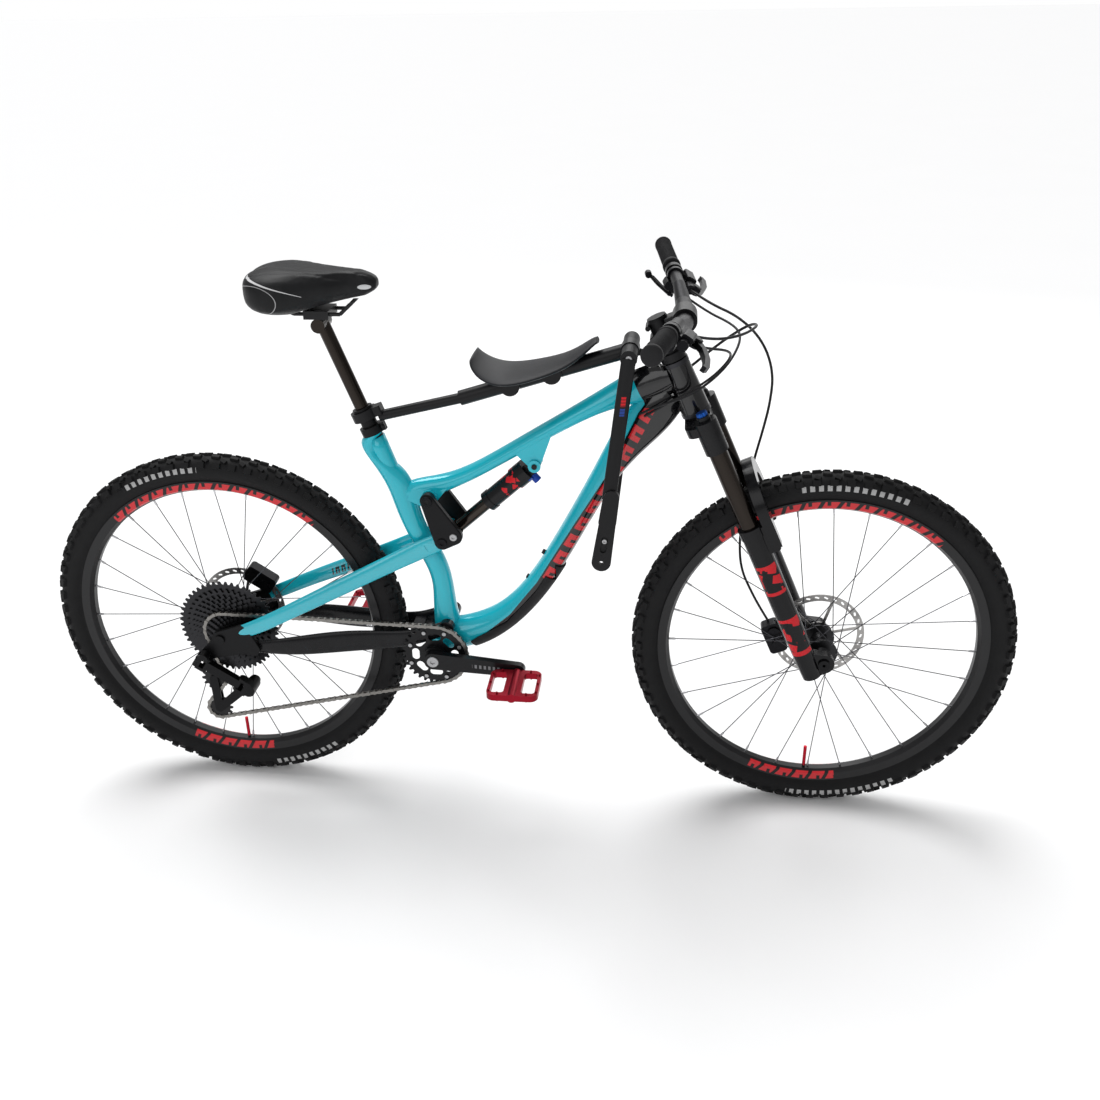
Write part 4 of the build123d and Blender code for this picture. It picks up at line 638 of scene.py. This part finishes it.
tyre = {"middle": 0.3405, "section": 0.0247, "segments": 160, "around": 28,
        "beads": ((0.3190, 0.0152), (0.3100, 0.0136), (0.3100, -0.0136), (0.3190, -0.0152)),
        "rows": (  # knobs per row, lean in degrees, length along, width, height, twist, start share
            (62, 12, 0.0180, 0.0082, 0.0049, 0.12, 0.0), (62, -12, 0.0180, 0.0082, 0.0049, -0.12, 0.5),
            (62, 34, 0.0125, 0.0085, 0.0046, 0.45, 0.5), (62, -34, 0.0125, 0.0085, 0.0046, -0.45, 0.0),
            (72, 57, 0.0165, 0.0125, 0.0052, 0.0, 0.25), (72, -57, 0.0165, 0.0125, 0.0052, 0.0, 0.75))}


def tyreCasing(centre):
    def build(work):
        sections = []
        for i in range(tyre["segments"]):
            turn = 2 * pi * i / tyre["segments"]
            ring = []
            for k in range(tyre["around"]):
                lean = pi * (-0.76 + 1.52 * k / (tyre["around"] - 1))
                reach = tyre["middle"] + tyre["section"] * cos(lean)
                side = tyre["section"] * sin(lean)
                ring.append((centre[0] + reach * sin(turn), side, centre[1] + reach * cos(turn)))
            # the beads tuck in behind the rim's edges
            for reach, y in tyre["beads"]:
                ring.append((centre[0] + reach * sin(turn), y, centre[1] + reach * cos(turn)))
            sections.append(ring)
        sections.append(sections[0])
        skinSections(work, sections, False)
        bmesh.ops.remove_doubles(work, verts=work.verts, dist=0.00001)
        bmesh.ops.recalc_face_normals(work, faces=work.faces)
    return build


for end, centre in (("front", frontAxle), ("rear", rearAxle)):
    casing = asObject(end + "TyreCasing", tyreCasing(centre))
    finishPiece(casing, end + "_wheel", end + "_tyre", "tyre_rubber", end + "_tyre")
    rows = []
    for number, (count, lean, length, width, height, twist, share) in enumerate(tyre["rows"]):
        rows.append(repeat(f"knobs{number}", "ring", chamferedBlock(length, width, height, 0.84), end + "_tyre",
                           Count=count, Centre=(centre[0], 0, centre[1]), Radius=tyre["middle"],
                           Section=tyre["section"], Lean=radians(lean), Start=2 * pi * share / count, Span=2 * pi,
                           Twist=twist, Side=0.0))
    knobs = joinMeshes(end + "Tread", rows)
    finishPiece(knobs, end + "_wheel", end + "_tyre", "tyre_rubber")
print("tyres made")

# ---- spokes and nipples, one of each kind repeated seven times

wheels = {"spokes": 28, "hub": 0.0275, "bed": 0.296, "radius": 0.00095, "cross": 3,
          "front": {"centre": frontAxle, "flanges": (0.024, -0.033)},
          "rear": {"centre": rearAxle, "flanges": (0.034, -0.022)}}


def pipe(work, start, end, radius, sides=8):
    start, end = Vector(start), Vector(end)
    turn = (end - start).to_track_quat("Z", "Y")
    ends = [[point + turn @ Vector((radius * cos(2 * pi * i / sides), radius * sin(2 * pi * i / sides), 0))
             for i in range(sides)] for point in (start, end)]
    skinSections(work, ends)


def oneSpoke(flange, shift, turn, lean, nipple):
    step = 4 * pi / wheels["spokes"]

    def build(work):
        first, last = shift * step, (shift + turn) * step
        foot = Vector((wheels["hub"] * sin(first), flange + lean, wheels["hub"] * cos(first)))
        side = 0.0018 if flange > 0 else -0.0018
        head = Vector((wheels["bed"] * sin(last), side, wheels["bed"] * cos(last)))
        if nipple:
            pipe(work, head + (foot - head).normalized() * 0.013, head, 0.0021)
        else:
            pipe(work, foot, head, wheels["radius"])
            pipe(work, foot, foot + Vector((0, -lean * 1.6, 0)), 0.0019)
    return build


for end in ("front", "rear"):
    centre = wheels[end]["centre"]
    for nipple, name, finish in ((False, "Spokes", "spoke_steel"), (True, "Nipples", "nipple_alloy")):
        groups = []
        for side, flange in enumerate(wheels[end]["flanges"]):
            for way in (0, 1):
                turn = wheels["cross"] if way == 0 else -wheels["cross"]
                lean = 0.0022 if way == 0 else -0.0022
                groups.append(repeat(f"{end}{name}{side}{way}", "ring",
                                     oneSpoke(flange, way + side / 2, turn, lean, nipple), finish,
                                     Count=wheels["spokes"] // 4, Centre=(centre[0], 0, centre[1]), Radius=0.0,
                                     Section=0.0, Lean=0.0, Start=0.0, Span=2 * pi, Twist=0.0, Side=0.0))
        made = joinMeshes(end + name, groups)
        finishPiece(made, end + "_wheel", finish, "spoke_steel", *([] if nipple else [end + "_spokes"]))

# red valve caps and rotor bolts
valve = {"length": 0.030, "radius": 0.0034, "foot": 0.262}
for end in ("front", "rear"):
    centre = wheels[end]["centre"]
    stem = asObject(end + "Valve", lambda work: pipe(
        work, (centre[0] - 0.008, 0, centre[1] - valve["foot"] + 0.016),
        (centre[0] - 0.008, 0, centre[1] - valve["foot"] - valve["length"]), valve["radius"], 16), False)
    finishPiece(stem, end + "_wheel", "valve_red", "pedal_alloy")
    rotorY = {"front": 0.040, "rear": 0.060}[end]
    bolts = repeat(end + "RotorBolts", "ring", roundBar(0.0032, -0.0015, 0.0022, 10, 0.0006), "pin_steel", Count=6,
                   Centre=(centre[0], 0, centre[1]), Radius=0.022, Section=0.001, Lean=pi / 2, Start=0.3,
                   Span=2 * pi, Twist=0.0, Side=rotorY)
    finishPiece(bolts, end + "_wheel", "pin_steel", "hub_alloy")
print("spokes made")

# ---- chain: its line round ring, sprocket and jockey wheels, then links in turn

chain = {"pitch": 0.0127, "side": -0.050, "wheels": (  # centre, teeth, sense
    ((-0.598, 0.370), 21, 1), ((-0.164, 0.338), 32, 1), ((-0.636, 0.184), 12, 1), ((-0.638, 0.256), 12, -1))}


def chainLine():
    rings = [(Vector(centre), chain["pitch"] / (2 * sin(pi / teeth)), sense)
             for centre, teeth, sense in chain["wheels"]]
    runs = []
    for (first, r1, s1), (second, r2, s2) in zip(rings, rings[1:] + rings[:1]):
        apart = second - first
        ahead = apart.normalized()
        left = Vector((-ahead.y, ahead.x))
        angle = asin((s1 * r1 - s2 * r2) / apart.length)
        along = ahead * cos(angle) - left * sin(angle)
        normal = Vector((-along.y, along.x))
        runs.append((first + normal * s1 * r1, second + normal * s2 * r2))
    points = []
    for i, (start, end) in enumerate(runs):
        points += [start.lerp(end, k / 8) for k in range(9)]
        centre, radius, sense = rings[(i + 1) % 4]
        a = atan2(end.y - centre.y, end.x - centre.x)
        after = runs[(i + 1) % 4][0]
        b = atan2(after.y - centre.y, after.x - centre.x)
        sweep = (b - a) % (2 * pi) - (2 * pi if sense > 0 else 0)
        steps = 24
        points += [centre + Vector((cos(a + sweep * k / steps), sin(a + sweep * k / steps))) * radius
                   for k in range(1, steps)]
    return points


def polyRoute(name, points):
    curve = bpy.data.curves.new(name, "CURVE")
    curve.dimensions = "3D"
    spline = curve.splines.new("POLY")
    spline.points.add(len(points) - 1)
    for spot, point in zip(spline.points, points):
        spot.co = (*point, 1)
    spline.use_cyclic_u = True
    holder = bpy.data.objects.new(name, curve)
    bpy.context.collection.objects.link(holder)
    return holder


def linkPlates(inner):
    spread = 0.0021 if inner else 0.0031
    half = chain["pitch"] / 2

    def build(work):
        outline = []
        for cx, start in ((half, -70), (-half, 110)):
            for k in range(7):
                angle = radians(start + 140 * k / 6)
                outline.append((cx + 0.0040 * cos(angle), 0.0040 * sin(angle)))
            outline.append((0, 0.0027 if cx > 0 else -0.0027))
        for side in (-1, 1):
            low, high = side * spread - 0.00045, side * spread + 0.00045
            skinSections(work, [[(x, low, z) for x, z in outline], [(x, high, z) for x, z in outline]])
        for x in (-half, half):
            radius, reach = (0.0038, 0.0017) if inner else (0.0018, 0.0037)
            pipe(work, (x, -reach, 0), (x, reach, 0), radius, 10)
    return build


linePoints = chainLine()
length = sum((a - b).length for a, b in zip(linePoints, linePoints[1:] + linePoints[:1]))
links = 2 * round(length / chain["pitch"] / 2)
route = polyRoute("chainRoute", [(point.x, chain["side"], point.y) for point in linePoints])
halves = [repeat(f"links{phase}", "route", linkPlates(phase == 1), "chain_steel", Route=route, Count=links,
                 Phase=phase, Every=2) for phase in (0, 1)]
finishPiece(joinMeshes("chainLinks", halves), "chainstay", "chain_steel", "chain_steel", "chain")
bpy.data.objects.remove(route)
print("chain made", links, "links of", round(length / links * 1000, 2), "mm")

# ---- hoses and cables

barBend = Vector((0.297, 0.140, 1.045))
barOut = (Vector((0.263, 0.378, 1.066)) - barBend).normalized()


def barPoint(y):
    return barBend + barOut * ((y - barBend.y) / barOut.y)


leverAhead = Vector((cos(radians(32)), 0, -sin(radians(32))))
leverUp = leverAhead.cross(barOut)
steerUp = Vector((-cos(radians(66)), 0, sin(radians(66))))
steerAhead = Vector((sin(radians(66)), 0, cos(radians(66))))
steerFoot = Vector((0.598, 0, 0.370)) - steerAhead * 0.044
brakeExit = barPoint(0.150) + leverAhead * 0.028
triggerExit = barPoint(0.174) + leverAhead * 0.004 - leverUp * 0.020
hoses = {
    "frontBrakeHose": (0.0025, [
        brakeExit, (0.352, 0.118, 1.016), (0.408, 0.084, 1.000), (0.452, 0.062, 0.962), (0.474, 0.058, 0.905),
        (0.472, 0.062, 0.845), (0.463, 0.074, 0.785), (0.452, 0.086, 0.725), (0.444, 0.094, 0.665),
        (0.438, 0.094, 0.605), (0.434, 0.090, 0.545), (0.440, 0.078, 0.490), (0.464, 0.060, 0.446),
        steerFoot + steerUp * 0.092 - steerAhead * 0.042 + Vector((0, 0.046, 0)),
        steerFoot + steerUp * 0.062 - steerAhead * 0.038 + Vector((0, 0.046, 0))]),
    "rearBrakeHose": (0.0025, [
        (brakeExit.x, -brakeExit.y, brakeExit.z), (0.356, -0.112, 1.012), (0.408, -0.072, 1.010),
        (0.438, -0.018, 1.014), (0.424, 0.030, 1.002), (0.378, 0.050, 0.964), (0.330, 0.042, 0.924),
        (0.290, 0.033, 0.892), (0.262, 0.0256, 0.872)]),
    "shiftCable": (0.0023, [
        (triggerExit.x + 0.002, -triggerExit.y, triggerExit.z), (0.342, -0.124, 1.002), (0.386, -0.084, 0.988),
        (0.392, -0.044, 0.962), (0.362, -0.036, 0.924), (0.318, -0.036, 0.894), (0.276, -0.033, 0.868),
        (0.244, -0.0265, 0.846)]),
    "dropperCable": (0.0023, [
        (triggerExit.x + 0.002, triggerExit.y, triggerExit.z), (0.346, 0.122, 1.000), (0.396, 0.072, 0.990),
        (0.412, 0.014, 0.984), (0.392, -0.034, 0.952), (0.352, -0.056, 0.916), (0.306, -0.053, 0.888),
        (0.264, -0.038, 0.869), (0.236, -0.0265, 0.850)]),
}


def hoseAlong(name, radius, points):
    curve = bpy.data.curves.new(name, "CURVE")
    curve.dimensions = "3D"
    curve.bevel_depth = radius
    curve.bevel_resolution = 3
    curve.use_fill_caps = True
    spline = curve.splines.new("NURBS")
    spline.points.add(len(points) - 1)
    for spot, point in zip(spline.points, points):
        spot.co = (*point, 1)
    spline.order_u = 3
    spline.use_endpoint_u = True
    spline.resolution_u = 14
    holder = bpy.data.objects.new(name, curve)
    bpy.context.collection.objects.link(holder)
    mesh = bpy.data.meshes.new_from_object(holder.evaluated_get(bpy.context.evaluated_depsgraph_get()))
    bpy.data.objects.remove(holder)
    mesh.shade_smooth()
    piece = bpy.data.objects.new(name, mesh)
    bpy.context.collection.objects.link(piece)
    return piece


for name, (radius, points) in hoses.items():
    hose = hoseAlong(name, radius, points)
    hose.data.materials.clear()
    hose.data.materials.append(finishes["hose_jacket"])
    if name == "frontBrakeHose":
        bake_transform(hose)
        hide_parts("front_brake_hose")
    else:
        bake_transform(hose)
        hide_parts("control_cables")
print("hoses made")

# ---- grips: ribbed sleeves between lock rings, closed by end caps

grip = {"from": 0.250, "to": 0.3815, "sleeve": 0.0150, "rib": 0.00105, "ribs": 34, "ring": 0.0172, "cap": 0.0165}


def turnedAlong(name, profile, start, direction, sides=40):
    turn = direction.to_track_quat("Z", "Y")

    def build(work):
        skinSections(work, [[start + turn @ Vector((r * cos(2 * pi * i / sides), r * sin(2 * pi * i / sides), z))
                             for i in range(sides)] for z, r in profile])
    return asObject(name, build)


def torusShape(radius, thick, sides=28, around=6):
    def build(work):
        rows = [[((radius + thick * cos(2 * pi * k / around)) * cos(2 * pi * i / sides),
                  (radius + thick * cos(2 * pi * k / around)) * sin(2 * pi * i / sides),
                  thick * sin(2 * pi * k / around)) for k in range(around)] for i in range(sides + 1)]
        skinSections(work, rows, False)
        bmesh.ops.remove_doubles(work, verts=work.verts, dist=0.00001)
        bmesh.ops.recalc_face_normals(work, faces=work.faces)
    return build


sleeves = []
for side in (1, -1):
    out = Vector((barOut.x, barOut.y * side, barOut.z))
    place = barPoint(grip["from"])
    start = Vector((place.x, place.y * side, place.z))
    span = grip["to"] - grip["from"]
    r, ring, cap = grip["sleeve"], grip["ring"], grip["cap"]
    sleeves.append(turnedAlong("sleeve", [(-0.001, 0.0125), (-0.001, r), (span - 0.006, r), (span - 0.006, cap),
                                          (span + 0.001, cap), (span + 0.003, cap - 0.002), (span + 0.0035, 0.006)],
                               start, out))
    lockProfile = [(-0.0125, 0.0115), (-0.0125, ring - 0.001), (-0.0115, ring), (-0.0025, ring),
                   (-0.0015, ring - 0.001), (-0.0015, 0.0115)]
    sleeves.append(turnedAlong("lockRing", lockProfile, start, out))
    step = out * ((span - 0.012) / (grip["ribs"] - 1))
    turn = out.to_track_quat("Z", "Y").to_euler()
    sleeves.append(repeat("ribs", "row", torusShape(r, grip["rib"]), "grip_rubber", True, Count=grip["ribs"],
                          Start=tuple(start + out * 0.002), Step=tuple(step), Turn=tuple(turn)))
gripPiece = joinMeshes("gripSleeves", sleeves)
gripPiece.data.shade_smooth()
finishPiece(gripPiece, "steering", "grip_rubber", "grip_rubber", "grips")
print("grips made")

# ---- rider's saddle: a soft cover over the shell, puffed, then creased along its panels

saddle = {"sections": (  # x, half width, crown, side, underside, dip along the middle
    (-0.470, 0.034, 1.0870, 1.070, 1.0540, 0.0), (-0.462, 0.060, 1.0960, 1.066, 1.0400, 0.0005),
    (-0.445, 0.079, 1.1015, 1.062, 1.0310, 0.0020), (-0.415, 0.0905, 1.1035, 1.060, 1.0265, 0.0035),
    (-0.385, 0.0865, 1.1010, 1.062, 1.0310, 0.0040), (-0.355, 0.0745, 1.0975, 1.065, 1.0390, 0.0035),
    (-0.325, 0.0570, 1.0955, 1.068, 1.0460, 0.0025), (-0.300, 0.0420, 1.0945, 1.070, 1.0510, 0.0015),
    (-0.275, 0.0315, 1.0940, 1.072, 1.0560, 0.0008), (-0.250, 0.0245, 1.0925, 1.073, 1.0600, 0.0),
    (-0.236, 0.0190, 1.0895, 1.074, 1.0630, 0.0), (-0.228, 0.0120, 1.0850, 1.075, 1.0680, 0.0)),
    "around": 40, "voxel": 0.005, "swell": 0.005, "pressure": 4.0}


def saddleForm(work):
    rows = []
    for x, half, crown, side, under, dip in saddle["sections"]:
        row = []
        for i in range(saddle["around"]):
            angle = 2 * pi * i / saddle["around"]
            across, rise = cos(angle), sin(angle)
            y = half * (abs(across) ** 0.72) * (1 if across > 0 else -1)
            high = side + (crown - side) * abs(rise) ** 0.62
            low = side - (side - under) * abs(rise) ** 0.55
            z = high if rise >= 0 else low
            if rise > 0:
                z -= dip * max(0, 1 - (y / 0.020) ** 2)
            row.append((x, y, z))
        rows.append(row)
    skinSections(work, rows)


def puff(piece, settings):
    remesh = piece.modifiers.new("remesh", "REMESH")
    remesh.mode = "VOXEL"
    remesh.voxel_size = settings["voxel"]
    settle(piece)
    before = [v.co.copy() for v in piece.data.vertices]
    cloth = piece.modifiers.new("cloth", "CLOTH")
    cloth.settings.use_pressure = True
    cloth.settings.uniform_pressure_force = settings["pressure"]
    cloth.settings.effector_weights.gravity = 0
    for step in range(1, 21):
        bpy.context.scene.frame_set(step)
    settle(piece)
    bpy.context.scene.frame_set(1)
    for vertex, start in zip(piece.data.vertices, before):
        shift = vertex.co - start
        if shift.length > settings["swell"]:
            vertex.co = start + shift.normalized() * settings["swell"]
    return piece


def smoothOut(piece, levels):
    rounds = piece.modifiers.new("subdivision", "SUBSURF")
    rounds.levels = rounds.render_levels = levels
    return settle(piece)


def panelSeams(x, y):  # depth of the sewn creases, seen from above
    depth = 0.0
    for half, bow in ((0.052, 0.30), (0.026, 0.12)):
        line = half - bow * max(0, x + 0.400) ** 1.15
        if x > -0.452 and line > 0.006:
            depth += 0.0016 * max(0, 1 - abs(abs(y) - line) / 0.0035)
    return depth


cover = asObject("saddleCover", saddleForm)
smoothOut(cover, 1)
puff(cover, saddle)
smoothOut(cover, 1)
for vertex in cover.data.vertices:
    x, y, z = vertex.co
    if z > 1.076:
        vertex.co.z -= panelSeams(x, y)
cover.data.shade_smooth()


def saddleSkin(place):
    x, y, z = axes(place)
    side = size(y)
    grain = addNode(place.tree, "ShaderNodeTexVoronoi", {}, {"Vector": place, "Scale": 1100.0})
    swoop = size(z - 1.0935 + (x + 0.455) * 0.16 + (x + 0.455) * (x + 0.455) * 1.2)
    swoosh = smallest(1 - soften(swoop - (0 - x - 0.36) * 0.012, 0.0004, 0.0007), between(x, -0.457, -0.352, 0.001))
    reach = (x + 0.437) * (x + 0.437) * 0.394 + (z - 1.057) * (z - 1.057)
    loop = smallest(1 - soften(size(reach - 0.000729), 0.000018, 0.000034), largest(soften(x, -0.44, -0.439),
                                                                                  soften(z, 1.062, 1.063)))
    lines = smallest(largest(swoosh, loop * 0.55), soften(side, 0.028, 0.030))
    nose = (x + 0.252) * (x + 0.252) * 6900 + (z - 1.072) * (z - 1.072) * 49000
    badge = smallest(1 - soften(nose, 0.9, 1.0), soften(side, 0.012, 0.013))
    dust = mottle(place, 30, 4)
    colour = blendColours(soften(dust, 0.35, 0.8), (0.0045, 0.0048, 0.0056, 1), (0.0085, 0.0090, 0.0100, 1))
    colour = blendColours(lines, colour, (0.62, 0.62, 0.63, 1))
    colour = blendColours(badge, colour, (0.50, 0.51, 0.52, 1))
    return {"Base Color": colour, "Roughness": dust * 0.12 + 0.40 - badge * 0.15, "Metallic": badge * 0.8,
            "Normal": bumps(grain, 0.25, 0.0004)}


finishes["saddle_skin"] = makeFinish("saddle_skin", saddleSkin, **dull)
finishPiece(cover, "saddle", "saddle_skin", "saddle_skin", "saddle_cover")
print("saddle made")

# ---- small parts: knobs, bolt heads and grommets


def capHead(radius, height, socket, sides=24):
    def build(work):
        profile = [(radius - 0.0004, 0), (radius, 0.0006), (radius, height * 0.6), (radius - 0.0008, height),
                   (socket, height), (socket * 0.96, height * 0.35), (0.0001, height * 0.35)]
        rows = []
        for r, z in profile:
            corners = 6 if r <= socket and r > 0.0001 else sides
            row = []
            for i in range(sides):
                angle = 2 * pi * i / sides
                flat = cos(pi / 6) / cos((angle + pi / 6) % (pi / 3) - pi / 6) if corners == 6 else 1
                row.append((r * flat * cos(angle), r * flat * sin(angle), z))
            rows.append(row)
        skinSections(work, rows)
    return build


def scallopedKnob(radius, height, lobes, depth):
    def build(work):
        rows = []
        for z, scale in ((0, 0.92), (height * 0.12, 1), (height * 0.8, 1), (height, 0.9)):
            row = []
            for i in range(lobes * 8):
                a = 2 * pi * i / (lobes * 8)
                reach = radius * scale + depth * cos(lobes * a)
                row.append((reach * cos(a), reach * sin(a), z))
            rows.append(row)
        skinSections(work, rows)
    return build


def stand(name, build, place, heading, body, finish, slot):
    piece = asObject(name, build, False)
    piece.data.transform(Matrix.Translation(place) @ Vector(heading).to_track_quat("Z", "Y").to_matrix().to_4x4())
    return finishPiece(piece, body, finish, slot)


def slotPlug(half, radius, low, high, tilt):
    def build(work):
        outline = []
        for centre, start in ((half, -90), (-half, 90)):
            for i in range(9):
                angle = radians(start + 180 * i / 8)
                outline.append((centre + radius * cos(angle), radius * sin(angle)))
        turned = [(u * cos(tilt) - v * sin(tilt), u * sin(tilt) + v * cos(tilt)) for u, v in outline]
        skinSections(work, [[(u, low, v) for u, v in turned], [(u, high, v) for u, v in turned]])
    return build


# the seat tube's mouth, wrapped closely round the post's sleeve
mouth = {"foot": Vector((-0.2607, 0, 0.782)), "heading": Vector((-0.3453, 0, 0.9385)),
         "profile": ((-0.092, 0.0150), (-0.080, 0.0164), (-0.055, 0.0172), (-0.020, 0.0178),
                     (0.002, 0.0182), (0.002, 0.0150))}
sleeve = turnedAlong("seatTubeMouth", mouth["profile"], mouth["foot"], mouth["heading"], 64)
finishPiece(sleeve, "root", "frame_paint", "frame_paint")
finishes["blue_anodised"] = makeFinish("blue_anodised", brushed((0.01, 0.09, 0.42, 1), 0.25, 0.8, 400))
finishes["red_anodised"] = makeFinish("red_anodised", brushed((0.55, 0.01, 0.03, 1), 0.25, 0.8, 400))
knobs = {"forkKnob": (0.0095, 0.008, 10, 0.0006), "airCap": (0.0100, 0.005, 18, 0.0002)}
for name, side, finish in (("forkKnob", -1, "blue_anodised"), ("airCap", 1, "control_alloy")):
    foot = steerFoot + steerUp * 0.5525 + steerAhead * 0.015 + Vector((0, 0.066 * side, 0))
    stand(name, scallopedKnob(*knobs[name]), foot, steerUp, "steering", finish, "dark_alloy")
bolts = {  # place, which way it faces, radius, height, socket, body, finish
    "rockerBolt": ((-0.1608, -0.0465, 0.6732), (0, -1, 0), 0.0105, 0.0035, 0.0045, "rocker", "control_alloy"),
    "stayBolt": ((-0.1367, -0.0465, 0.5872), (0, -1, 0), 0.0100, 0.0030, 0.0045, "rocker", "control_alloy"),
    "shockBolt": ((-0.1140, -0.0465, 0.6005), (0, -1, 0), 0.0075, 0.0028, 0.0035, "rocker", "pin_steel"),
    "rockerBoltLeft": ((-0.1608, 0.0465, 0.6732), (0, 1, 0), 0.0105, 0.0035, 0.0045, "rocker", "control_alloy"),
    "stayBoltLeft": ((-0.1367, 0.0465, 0.5872), (0, 1, 0), 0.0100, 0.0030, 0.0045, "rocker", "control_alloy"),
    "crankBolt": ((-0.164, -0.0775, 0.338), (0, -1, 0), 0.0120, 0.0030, 0.0050, "crankset", "pin_steel"),
    "crankBoltLeft": ((-0.164, 0.0775, 0.338), (0, 1, 0), 0.0120, 0.0030, 0.0050, "crankset", "pin_steel"),
    "legBolt": ((0.216, -0.0615, 0.962), (0, -1, 0), 0.0060, 0.0025, 0.0028, "leg_right", "pin_steel"),
    "legBoltLeft": ((0.216, 0.0615, 0.962), (0, 1, 0), 0.0060, 0.0025, 0.0028, "leg_left", "pin_steel"),
}
slotOf = {"rocker": "black_paint", "crankset": "crank_alloy", "leg_right": "leg_plastic", "leg_left": "leg_plastic"}
for name, (place, heading, radius, height, socket, body, finish) in bolts.items():
    stand(name, capHead(radius, height, socket), place, heading, body, finish, slotOf[body])
for side, body in ((-1, "leg_right"), (1, "leg_left")):
    plug = asObject(body + "Window", slotPlug(0.011, 0.0061, -0.002, 0.002, radians(82)), False)
    plug.data.transform(Matrix.Translation((0.177, side * 0.0865, 0.618)))
    finishPiece(plug, body, "rubber_guard", "leg_plastic")
    stand(body + "WindowBolt", capHead(0.0050, 0.0030, 0.0024), (0.1778, side * 0.0885, 0.624), (0, side, 0), body,
          "pin_steel", "leg_plastic")
rings = repeat("chainringBolts", "ring", roundBar(0.0042, -0.0006, 0.0016, 12, 0.0004), "pin_steel", Count=8,
               Centre=(-0.164, 0, 0.338), Radius=0.054, Section=0.001, Lean=-pi / 2, Start=pi / 8,
               Span=2 * pi, Twist=0.0, Side=-0.0515)
finishPiece(rings, "crankset", "pin_steel", "crank_alloy")
print("small parts made")

# ---- floor

floor = {"half": 60.0, "colour": (0.93, 0.93, 0.935, 1)}
ground = asObject("floor", lambda work: bmesh.ops.create_grid(work, x_segments=1, y_segments=1, size=floor["half"]))


def floorPaint(place):
    cloud = mottle(place, 1.5, 2)
    return {"Base Color": blendColours(cloud, (0.92, 0.922, 0.925, 1), floor["colour"]),
            "Roughness": cloud * 0.1 + 0.7}


ground.data.materials.append(makeFinish("floorPaint", floorPaint))
